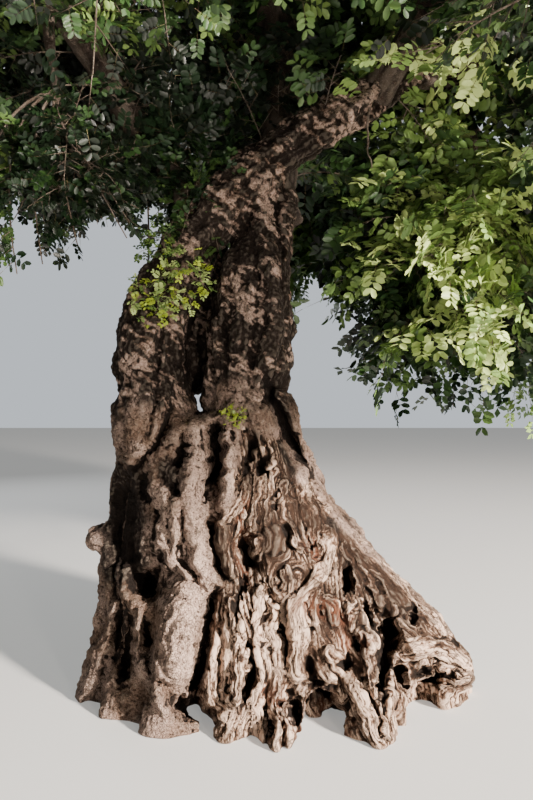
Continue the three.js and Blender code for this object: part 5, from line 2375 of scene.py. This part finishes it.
    def add_leaflets(
        self, store: MeshStore, leaves: Leaves, detail: int, dice: np.random.Generator
    ) -> None:
        """Adds the leaflets of compound leaves.

        Args:
            store: Where they go.
            leaves: The leaves.
            detail: How finely the leaflets are made, from 0 to 2.
            dice: The source of chance.
        """
        corners, faces = self.shape.outline(detail)
        pairs = dice.integers(3, 6, len(leaves.at))
        for pair in range(1, 6):
            has = pairs >= pair
            if not has.any():
                continue
            some = leaves.some(has)
            side = np.cross(some.face, some.way)
            share = 0.16 + 0.84 * pair / pairs[has]
            tip = pair == pairs[has]
            swell = 0.8 + 0.34 * np.sin(math.pi * np.minimum(share, 0.8))
            length = self.shape.leaflet * some.size * swell
            sag = some.face * (share * share * 0.12)[:, None]
            stalk = (self.shape.length * some.size)[:, None]
            root = some.at + (some.way * share[:, None] - sag) * stalk
            for hand in (-1, 1):
                angle = np.where(tip, 0.72, 1.22) + (dice.random(len(root)) - 0.5) * 0.4
                along = some.way * np.cos(angle)[:, None] + side * (hand * np.sin(angle))[:, None]
                along = unit(along + some.face * ((dice.random(len(root)) - 0.55) * 0.5)[:, None])
                out = flattened(some.face, along)
                out = turned(out, along, (dice.random(len(root)) - 0.5) * 0.9)
                across = np.cross(out, along)
                frames = np.stack([along, across, out], axis=1) * length[:, None, None]
                points = root[:, None] + np.einsum("kc,ncd->nkd", corners, frames)
                base = np.arange(len(root))[:, None, None] * len(corners)
                own = (base + faces).reshape(-1, faces.shape[1])
                store.add(points, own, np.repeat(some.paint, len(faces)))

    def add_stalks(self, store: MeshStore, leaves: Leaves) -> None:
        """Adds the stalk that each compound leaf's leaflets stand on.

        Args:
            store: Where they go.
            leaves: The leaves.
        """
        length = (self.shape.length * leaves.size)[:, None]
        half = np.cross(leaves.face, leaves.way) * (1.5 * leaves.size)[:, None]
        tip = leaves.at + (leaves.way - leaves.face * 0.12) * length
        points = np.stack([leaves.at - half, leaves.at + half, tip], axis=1)
        store.add(points, np.arange(len(tip) * 3).reshape(-1, 3), STALK_PAINT)

    def grow(self, mass: Mass, order: int) -> tuple[MeshStore, MeshStore]:
        """Grows one mass.

        Args:
            mass: The mass.
            order: Its place among the masses.

        Returns:
            Its leaves and its twigs.
        """
        dice = np.random.default_rng(self.mass_seed + order)
        leaves, twigs = MeshStore(), MeshStore()
        stem, onward, thick = self.stem(mass)
        thin = np.array([thick * 0.32])
        add_tubes(twigs, stem, np.array([thick * 0.98]), thin, sides=10, steps=12)
        main = self.twigs(mass, order, stem, onward)
        small = np.full(len(main.start), mass.small)
        add_tubes(twigs, main, 19 * small, 7 * small, sides=7, steps=8)
        columns = zip((main.start, main.bend, main.end), self.stem_end(stem))
        carriers = Bends(*(np.concatenate(column) for column in columns))
        self.dress(leaves, twigs, *self.sprays(mass, carriers, dice), mass.small, dice)
        return leaves, twigs

    def grow_within(self) -> tuple[MeshStore, MeshStore]:
        """Grows the small sprays that stand on the boughs themselves, inside the crown.

        Returns:
            Their leaves and their twigs.
        """
        dice = np.random.default_rng(self.inner_seed)
        leaves, twigs = MeshStore(), MeshStore()
        for name, first in self.inner.items():
            limb = {**STEMS, **BOUGHS}[name]
            length = np.linalg.norm(np.diff(limb.at(np.linspace(0, 1, 30)), axis=0), axis=1).sum()
            step = self.inner_step * (0.5 if name in self.leafier else 1)
            count = int(length * (1 - first) / step)
            steps = np.arange(count) + 0.5 * dice.random(count)
            share = first + (1 - first) * steps / max(count, 1)
            middle, before = limb.at(share), limb.at(share - 0.01)
            along = unit(middle - before)
            side = flattened(np.tile((0.2, 0.1, 1.0), (count, 1)), along)
            side = turned(side, along, (np.arange(count) + 0.8 * dice.random(count)) * GOLDEN)
            way = unit(side + along * 0.45 + (0, 0, 0.15))
            at = middle + side * (limb.radius(share) * 0.9)[:, None]
            reach = 240 + 330 * dice.random(count)
            end = at + way * reach[:, None]
            partway = at + way * reach[:, None] * 0.6
            keep = self.clear(end) & ~in_the_open(end) & ~in_the_open(partway)
            at, way, reach, end = at[keep], way[keep], reach[keep], end[keep]
            lift = np.stack([np.zeros(len(at)), np.zeros(len(at)), reach], axis=1)
            curves = Bends(at, (at + end) / 2 + lift * 0.08, end - lift * 0.10)
            face = flattened(np.tile((0.0, 0.0, 1.0), (len(at), 1)) + 0.3 * side[keep], way)
            self.dress(leaves, twigs, curves, face, reach, 1.0, dice)
        return leaves, twigs

    def dress(
        self,
        leaves: MeshStore,
        twigs: MeshStore,
        sprays: Bends,
        face: Rows,
        reach: Rows,
        small: float,
        dice: np.random.Generator,
    ) -> None:
        """Makes sprays with their twiglets and leaves.

        Args:
            leaves: Where the leaves go.
            twigs: Where the twigs go.
            sprays: The sprays' middle lines.
            face: Their faces.
            reach: Their lengths.
            small: How small their mass is.
            dice: The source of chance.
        """
        if not len(reach):
            return
        thick = np.clip(reach * 0.0095, 3, 8)
        add_tubes(twigs, sprays, thick, np.full(len(reach), 2.2), sides=4, steps=4)
        twiglets, bud_face, spray = self.shoots(sprays, face, reach, dice)
        tips = ~in_the_open(twiglets.end)
        twiglets, bud_face, spray = twiglets.repeated(tips), bud_face[tips], spray[tips]
        add_spikes(twigs, twiglets, np.full(len(spray), 3.2))
        at, way, up, bud = self.leaves(twiglets, bud_face, dice)
        far = np.linalg.norm(at * MM - EYE, axis=1)
        nearest = np.interp(at[:, 0], (-500, -100), (1.75, 1.15))
        kept = ~in_the_open(at + way * 60) & (far > nearest)
        at, way, up, bud, far = at[kept], way[kept], up[kept], bud[kept], far[kept]
        size = (0.82 + 0.36 * dice.random(len(at))) * (0.85 + 0.15 * small)
        size *= np.interp(far, self.distances, self.sizes)
        size *= np.interp(at[:, 0], (-400, 200), (0.80, 1.0))
        chance = 0.5 * dice.random(len(reach))[spray] + 0.6 * dice.random(len(spray)) - 0.05
        paint = dealt_tints(twiglets.at(np.full(len(spray), 0.6)), np.clip(chance, 0, 1))[bud]
        all_leaves = Leaves(at, way, up, size, paint)
        detail = self.details(at, far)
        for level in (0, 1, 2):
            if (detail == level).any():
                self.add_leaflets(leaves, all_leaves.some(detail == level), level, dice)
        self.add_stalks(twigs, all_leaves)

    def details(self, at: Rows, far: Rows) -> Rows:
        """How finely leaves are made: the finer the nearer, and fine only where the photo looks.

        Args:
            at: The leaves' feet.
            far: How far each is from the eye.

        Returns:
            A number from 0 to 2 for each.
        """
        across, high = seen_from_front(at)
        shown = (np.abs(across) < 1.7) & (high < 4.1)
        middling = far < np.where(shown, self.middling, self.near)
        return np.where(far < self.near, 2, np.where(middling, 1, 0))

    @staticmethod
    def stem_end(stem: Bends) -> tuple[Rows, Rows, Rows]:
        """The outer half of a stem as a curve of its own, which carries sprays as a twig does."""
        start, middle, end = (stem.at(np.array([share])) for share in (0.5, 0.75, 1.0))
        return start, 2 * middle - 0.5 * (start + end), end

    def build(self, tints: list[bpy.types.Material], barks: list[bpy.types.Material]) -> None:
        """Grows every mass and joins their leaves and their twigs into pieces.

        Args:
            tints: The leaf materials.
            barks: The materials of twigs and of stalks.
        """
        grown = {mass.name: self.grow(mass, order) for order, mass in enumerate(MASSES)}
        grown["crown_top_foliage_within"] = self.grow_within()
        for kind, materials in (("leaves", tints), ("twigs", barks)):
            batch, names, number = MeshStore(), [], 1
            for name, (leaves, twigs) in grown.items():
                store = leaves if kind == "leaves" else twigs
                if batch.triangles + store.triangles > self.limit:
                    self.place(batch, f"crown_{kind}_{number}", materials, names)
                    batch, names, number = MeshStore(), [], number + 1
                batch.take(store)
                names.append(name.removesuffix("_within"))
            self.place(batch, f"crown_{kind}_{number}", materials, names)
        self.build_shoots(tints, barks)

    def build_shoots(
        self, tints: list[bpy.types.Material], barks: list[bpy.types.Material]
    ) -> None:
        """Grows the shoots out of the old bark and the twigs that hang from the boughs.

        Args:
            tints: The leaf materials.
            barks: The materials of twigs and of stalks.
        """
        leaves, twigs = MeshStore(), MeshStore()
        for shoot in SHOOTS + MORE_SHOOTS:
            shoot.grow(self, leaves, twigs)
        for twig in BARE_TWIGS:
            twig.grow(twigs)
        self.hang(leaves, twigs)
        nodes = [shoot.node for shoot in SHOOTS] + ["hanging_foliage"]
        self.place(leaves, "shoot_leaves", tints, nodes)
        self.place(twigs, "shoot_twigs", barks, nodes)

    def hang(self, leaves: MeshStore, twigs: MeshStore) -> None:
        """Grows the long sprays that hang from the hanging bough.

        Args:
            leaves: Where the leaves go.
            twigs: Where the twigs go.
        """
        dice = np.random.default_rng(self.hanging_seed)
        tip = BOUGHS["hanging_bough"].at(np.array([0.98]))[0]
        for bend, end in HANGING_SPRAYS:
            whole = Bends(tip[None], np.array([bend], float), np.array([end], float))
            add_tubes(twigs, whole, np.array([9.0]), np.array([3.0]), sides=5, steps=10)
            marks = np.linspace(0.35, 1.0, 4)
            start, last = whole.at(marks[:-1]), whole.at(marks[1:])
            middle = whole.at((marks[:-1] + marks[1:]) / 2)
            sprays = Bends(start, 2 * middle - 0.5 * (start + last), last)
            way = unit(last - start)
            face = flattened(np.tile((0.3, -0.6, 0.7), (len(way), 1)), way)
            self.dress(leaves, twigs, sprays, face, np.linalg.norm(last - start, axis=1), 0.8, dice)

    @staticmethod
    def place(
        batch: MeshStore, name: str, materials: list[bpy.types.Material], nodes: list[str]
    ) -> None:
        """Makes a piece of what was gathered and lets it stand for its masses.

        Args:
            batch: What was gathered.
            name: The piece's name.
            materials: Its materials.
            nodes: The masses that it stands for.
        """
        made = batch.piece(name, materials)
        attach(made, "root")
        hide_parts(*nodes)
        report(made)


@dataclass(frozen=True)
class LeafFinish:
    """Leathery leaves, dark and faintly glossy above and paler below."""

    tint: Tint
    below: float = 0.45

    def material(self) -> bpy.types.Material:
        """Builds the material.

        Returns:
            The finished material.
        """
        made, graph, shader = new_finish(f"leaf_{self.tint.name.lower()}")
        red, green, blue, _ = self.tint.value
        pale = (red * 1.6 + 0.005, green * 1.5 + 0.007, blue * 1.6 + 0.006, 1)
        back = graph.node("ShaderNodeNewGeometry").outputs["Backfacing"]
        tone = graph.mix(graph.times(back, self.below), self.tint.value, pale)
        graph.join(tone, shader.inputs["Base Color"])
        shader.inputs["Roughness"].default_value = 0.42
        shader.inputs["Specular IOR Level"].default_value = 0.45
        return made


@dataclass(frozen=True)
class BoughFinish:
    """Bark of boughs and twigs."""

    name: str
    brown: Color
    grey: Color
    scale: float = 1.6

    def material(self) -> bpy.types.Material:
        """Builds the material.

        Returns:
            The finished material.
        """
        made, graph, shader = new_finish(self.name)
        place = graph.node("ShaderNodeTexCoord").outputs["Object"]
        bark = graph.node("ShaderNodeGroup", {}, node_tree=GroupMaker.rough_bark())
        graph.join(place, bark.inputs["Vector"])
        bark.inputs["Brown"].default_value = self.brown
        bark.inputs["Grey"].default_value = self.grey
        bark.inputs["Scale"].default_value = self.scale
        # Painted shade in hollows and a faint painted highlight on crests.
        hollow = graph.node("ShaderNodeAttribute", attribute_name=Surface.HOLLOW.value)
        shade = graph.node("ShaderNodeGroup", {}, node_tree=GroupMaker.crevice_shade_and_highlight())
        graph.join(bark.outputs["Color"], shade.inputs["Color"])
        graph.join(hollow.outputs["Fac"], shade.inputs["Hollow"])
        shade.inputs["Highlight"].default_value = 0.1
        graph.join(shade.outputs["Color"], shader.inputs["Base Color"])
        bump = graph.node(
            "ShaderNodeBump", {"Strength": 0.8, "Distance": 0.01, "Height": bark.outputs["Height"]}
        )
        graph.join(bump.outputs[0], shader.inputs["Normal"])
        shader.inputs["Roughness"].default_value = 0.88
        shader.inputs["Specular IOR Level"].default_value = 0.25
        return made


@dataclass
class OuterBoughs:
    """The boughs that carry the masses: tapering limbs with ribs and scales of bark."""

    sides: int = 26
    few_sides: int = 12
    thin: float = 40
    step: float = 24

    def sides_of(self, curve: LimbCurve) -> int:
        """How many sides a bough has: fewer where it is thin."""
        return self.sides if curve.radii[0] > self.thin else self.few_sides

    def limb(self, curve: LimbCurve, order: int) -> tuple[Rows, Rows, Rows]:
        """The skin of one bough.

        Args:
            curve: Its course.
            order: Its place among the boughs.

        Returns:
            Its corners, its faces and its hollow mask.
        """
        length = np.linalg.norm(np.diff(curve.at(np.linspace(0, 1, 50)), axis=0), axis=1).sum()
        count = int(length / self.step) + 2
        middles, _, across, over = curve.frames(count)
        share = np.linspace(0, 1, count)
        sides = self.sides_of(curve)
        angle = np.arange(sides) * 2 * math.pi / sides
        ring = ring_points(across, over, angle)
        radius = curve.radius(share)
        run = share * length * MM + order * 5
        laid = np.stack(
            [
                np.cos(angle)[None] * radius[:, None] * MM,
                np.sin(angle)[None] * radius[:, None] * MM,
                np.broadcast_to(run[:, None], (count, sides)),
            ],
            axis=2,
        ).reshape(-1, 3)
        ribs = np.abs(fibrous(Seed.BOUGH_RIBS, laid, 0.075, 0.5)) - 0.25
        knots = fibrous(Seed.BOUGH_KNOTS, laid, 0.22, 0.26)
        scales = np.abs(fibrous(Seed.BOUGH_SCALES, laid, 0.035, 0.11)) - 0.25
        relief = 0.20 * ribs + 0.10 * knots + 0.07 * scales
        swell = 1 + relief.reshape(count, sides)
        collar = 1 + 0.35 * np.exp(-share * length / 150)
        points = middles[:, None] + ring * (radius[:, None] * swell * collar[:, None])[:, :, None]
        # Painted shade in the furrows between ribs and scales, through the finish's hollow mask.
        hollow = np.clip(0.5 - 1.6 * (ribs + 0.6 * scales), 0, 1)
        low = np.arange(count - 1)[:, None] * sides
        column = np.arange(sides)[None]
        after, high = (column + 1) % sides, low + sides
        faces = np.stack([low + column, low + after, high + after, high + column], axis=2)
        return points.reshape(-1, 3), faces.reshape(-1, 4), hollow

    def build(self, material: bpy.types.Material) -> None:
        """Builds all the boughs as one piece.

        Args:
            material: The finish.
        """
        store, hollows = MeshStore(), []
        for order, curve in enumerate(BOUGHS.values()):
            points, faces, hollow = self.limb(curve, order)
            sides, first = self.sides_of(curve), store.count
            store.add(points, faces)
            store.close(first + np.arange(sides)[None, ::-1])
            store.close(first + len(points) - sides + np.arange(sides)[None])
            hollows.append(hollow)
        made = store.piece("outer_boughs", [material])
        set_attribute(made.data, Surface.HOLLOW.value, np.concatenate(hollows))
        choose(made)
        bpy.ops.object.shade_smooth()
        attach(made, "root")
        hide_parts(*BOUGHS)
        report(made)


@dataclass(frozen=True)
class Shoot:
    """A tuft of young leafy shoots that breaks out of old bark, in millimetres."""

    node: str
    foot: Spot
    way: Spot
    reach: float
    twigs: int
    spread: float
    hang: float
    size: float
    tints: tuple[Tint, ...]
    leaves_each: int = 9
    first_seed: int = 8000

    def grow(self, crown: Crown, leaves: MeshStore, twigs: MeshStore) -> None:
        """Grows the tuft, with its twigs rooted in the bark.

        Args:
            crown: What knows the leaves.
            leaves: Where the leaves go.
            twigs: Where the twigs go.
        """
        dice = np.random.default_rng(self.first_seed + self.twigs)
        main = unit(np.array(self.way, float))
        index = np.arange(self.twigs)
        up = 1 - (1 - math.cos(self.spread)) * (index + 0.5) / self.twigs
        flat = np.sqrt(1 - up * up)
        side = unit(np.cross(main, (0.2, 0.9, 0.1)))
        over = np.cross(main, side)
        turn = (index * GOLDEN)[:, None]
        way = main * up[:, None] + (side * np.cos(turn) + over * np.sin(turn)) * flat[:, None]
        reach = self.reach * (0.55 + 0.45 * dice.random(self.twigs))[:, None]
        start = np.array(self.foot) - main * 0.45 * self.reach + way * 0.2 * reach
        drop = np.array((0, 0, self.hang)) * reach
        run = way * reach
        sprays = Bends(start, start + run * 0.8 + drop * 0.1, start + run * 1.3 - drop)
        thick = np.full(self.twigs, 0.018 * self.reach)
        add_tubes(twigs, sprays, thick, thick * 0.4, sides=4, steps=5)
        row = np.repeat(index, self.leaves_each)
        share = np.tile(np.linspace(0.45, 1, self.leaves_each), self.twigs)
        own = sprays.repeated(row)
        at, along = own.at(share), own.along(share)
        round_it = flattened(dice.random((len(row), 3)) - 0.5, along)
        leaf = unit(along * 0.5 + round_it + (0, 0, 0.15 - 0.5 * self.hang))
        face = np.tile((0.2, -0.7, 0.8), (len(row), 1)) + 0.6 * (dice.random((len(row), 3)) - 0.5)
        size = self.size * (0.7 + 0.6 * dice.random(len(row)))
        paint = np.array([list(Tint).index(tint) for tint in self.tints])
        tuft = Leaves(at, leaf, flattened(face, leaf), size, dice.choice(paint, len(row)))
        crown.add_leaflets(leaves, tuft, 1, dice)
        crown.add_stalks(twigs, tuft)


@dataclass(frozen=True)
class BareTwig:
    """A bare or nearly bare twig that hangs from a bough, in millimetres."""

    path: tuple[Spot, ...]
    thick: float
    thin: float
    steps: int = 14

    def grow(self, twigs: MeshStore) -> None:
        """Grows the twig as short joined lengths.

        Args:
            twigs: Where it goes.
        """
        curve = LimbCurve(self.path, (self.thick, self.thin))
        share = np.linspace(0, 1, self.steps + 1)
        points, radii = curve.at(share), curve.radius(share)
        dice = np.random.default_rng(int(self.thick * 10))
        points[1:-1] += dice.normal(0, 0.5 * self.thick, (self.steps - 1, 3))
        lengths = Bends(points[:-1], (points[:-1] + points[1:]) / 2, points[1:])
        add_tubes(twigs, lengths, radii[:-1], radii[1:], sides=6, steps=1)


# BRIGHT and NEW are partly painted sunlight, on shoots that stand in the crown's shade.
BRIGHT = (Tint.YOUNG, Tint.FRESH, Tint.SPRING)
NEW = (Tint.SPRING, Tint.SPRING, Tint.YOUNG)
SOFT = (Tint.OLIVE, Tint.MIDDLE, Tint.FRESH)
DIM = (Tint.DEEP, Tint.MIDDLE, Tint.OLIVE)
DARK = (Tint.DEEP, Tint.MIDDLE, Tint.SHADE)
DULL = (Tint.DEEP, Tint.MIDDLE, Tint.DEEP)
SHOOTS = (
    Shoot("stem_shoot", (-500, -225, 2360), (-0.15, -0.7, 0.5), 190, 15, 1.4, 0.5, 0.36, BRIGHT),
    Shoot("crotch_shoot", (-180, -285, 1530), (0, -0.35, 1), 70, 16, 1.3, -0.1, 0.15, NEW),
)
MORE_SHOOTS = (
    Shoot("stem_shoot", (-560, -190, 2540), (-0.5, -0.5, 0.5), 150, 9, 1.4, 0.3, 0.34, SOFT),
    Shoot("stem_shoot", (-610, -215, 2230), (-0.4, -0.7, 0.2), 150, 11, 1.4, 0.6, 0.36, BRIGHT),
    Shoot("stem_shoot", (-430, -115, 2860), (-0.4, -0.8, 0.1), 230, 12, 1.5, 0.5, 0.6, DIM),
    Shoot("stem_shoot", (-560, -20, 3080), (-0.3, -0.8, 0.2), 260, 14, 1.5, 0.4, 0.7, DARK),
    Shoot("stem_shoot", (-380, -60, 2990), (0.0, -0.6, 0.8), 200, 10, 1.5, 0.1, 0.6, DULL),
)
HANGING_SPRAYS = (
    ((-1330, -700, 3000), (-1210, -650, 2240)),
    ((-1180, -720, 2950), (-1090, -640, 2290)),
    ((-1060, -700, 3000), (-915, -650, 2370)),
    ((-960, -600, 2900), (-690, -600, 2430)),
    ((-1420, -640, 3050), (-1370, -640, 2420)),
)
LONG_TWIG = (
    (-640, 120, 3110),
    (-689, 70, 2990),
    (-715, 70, 2842),
    (-709, 70, 2453),
    (-757, 60, 2345),
)
BARE_TWIGS = (
    BareTwig(LONG_TWIG, 9, 4),
    BareTwig(((-700, 70, 2930), (-640, 50, 2880), (-590, 30, 2830)), 5, 3),
    BareTwig(((600, -90, 3400), (578, -150, 3240), (575, -160, 3080), (600, -150, 2960)), 9, 3.5),
    BareTwig(((100, -110, 3110), (35, -190, 2960), (15, -215, 2780)), 4, 2.5),
)


# ---- the studio ----


@dataclass(frozen=True)
class Lamp:
    """A square lamp: its place, what it points at, its side, its watts and its colour."""

    place: Spot
    target: Spot
    size: float
    power: float
    color: Spot

    def hang(self) -> None:
        """Hangs the lamp."""
        deselect()
        way = Vector(self.target) - Vector(self.place)
        bpy.ops.object.light_add(
            type="AREA", location=self.place, rotation=way.to_track_quat("-Z", "Y").to_euler()
        )
        made = bpy.context.object
        made.data.size = self.size
        made.data.energy = self.power
        made.data.color = self.color


LAMPS = (
    Lamp((12.6, -11.8, 5.6), (0.0, 0.0, 1.0), 1.3, 19500, (1.0, 0.895, 0.80)),
    Lamp((2.6, -6.3, 1.5), (-0.2, 0.0, 2.4), 0.5, 200, (1.0, 0.90, 0.80)),
    Lamp((-4.6, -5.6, 2.4), (-0.2, 0.0, 1.2), 3.0, 30, (0.85, 0.92, 1.0)),
    Lamp((-6.5, 9.5, 7.0), (0.0, 0.5, 2.5), 4.0, 420, (0.95, 0.97, 1.0)),
)


@dataclass
class Studio:
    """The camera, the floor and the lights."""

    lens: float = 28.0
    sensor: float = 36.0
    pitch_degrees: float = 1.5
    furthest: float = 300.0
    floor_size: float = 160.0
    floor_height: float = -0.004
    floor_color: Color = (0.60, 0.60, 0.585, 1)
    floor_glow: float = 0.50
    sky_color: Color = (0.80, 0.86, 0.93, 1)
    sky_seen: float = 0.80
    sky_light: float = 0.09

    def camera(self) -> None:
        """Stands the camera where the picture was taken from."""
        deselect()
        bpy.ops.object.camera_add(
            location=EYE.tolist(), rotation=(math.radians(90 + self.pitch_degrees), 0, 0)
        )
        made = bpy.context.object
        made.data.lens = self.lens
        made.data.sensor_width = self.sensor
        made.data.clip_end = self.furthest
        bpy.context.scene.camera = made

    def floor(self) -> None:
        """Lays a plain pale floor, which the camera alone sees glow a little."""
        deselect()
        bpy.ops.mesh.primitive_plane_add(size=self.floor_size, location=(0, 0, self.floor_height))
        made = bpy.context.object
        made.name = "floor"
        finish, graph, shader = new_finish("floor_paint")
        shader.inputs["Base Color"].default_value = self.floor_color
        shader.inputs["Roughness"].default_value = 0.9
        shader.inputs["Emission Color"].default_value = self.floor_color
        seen = graph.node("ShaderNodeLightPath").outputs["Is Camera Ray"]
        graph.join(graph.times(seen, self.floor_glow), shader.inputs["Emission Strength"])
        made.data.materials.append(finish)

    def sky(self) -> None:
        """Fills the scene with even pale light."""
        world = bpy.data.worlds.new("pale_sky")
        world.use_nodes = True
        graph = Graph(world.node_tree)
        ground = world.node_tree.nodes["Background"]
        ground.inputs["Color"].default_value = self.sky_color
        seen = graph.node("ShaderNodeLightPath").outputs["Is Camera Ray"]
        more = graph.times(seen, self.sky_seen - self.sky_light)
        graph.join(graph.plus(more, self.sky_light), ground.inputs["Strength"])
        bpy.context.scene.world = world

    def build(self) -> None:
        """Sets up the whole studio."""
        self.camera()
        self.floor()
        self.sky()
        for lamp in LAMPS:
            lamp.hang()


def main() -> None:
    """Builds the tree's pieces in order and reports each."""
    logging.basicConfig(level=logging.INFO, format="%(name)s: %(message)s")
    Studio().build()
    OldWood().build(OldWoodFinish().material())
    OuterBoughs().build(
        BoughFinish("bough_bark", (0.050, 0.036, 0.028, 1), (0.105, 0.085, 0.070, 1)).material()
    )
    barks = [
        BoughFinish("twig_bark", (0.16, 0.115, 0.085, 1), (0.27, 0.22, 0.18, 1), 4).material(),
        BoughFinish("leaf_stalk", (0.14, 0.10, 0.04, 1), (0.20, 0.17, 0.06, 1), 6).material(),
    ]
    Crown().build([LeafFinish(tint).material() for tint in Tint], barks)
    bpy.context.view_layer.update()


if __name__ == "__main__":
    main()
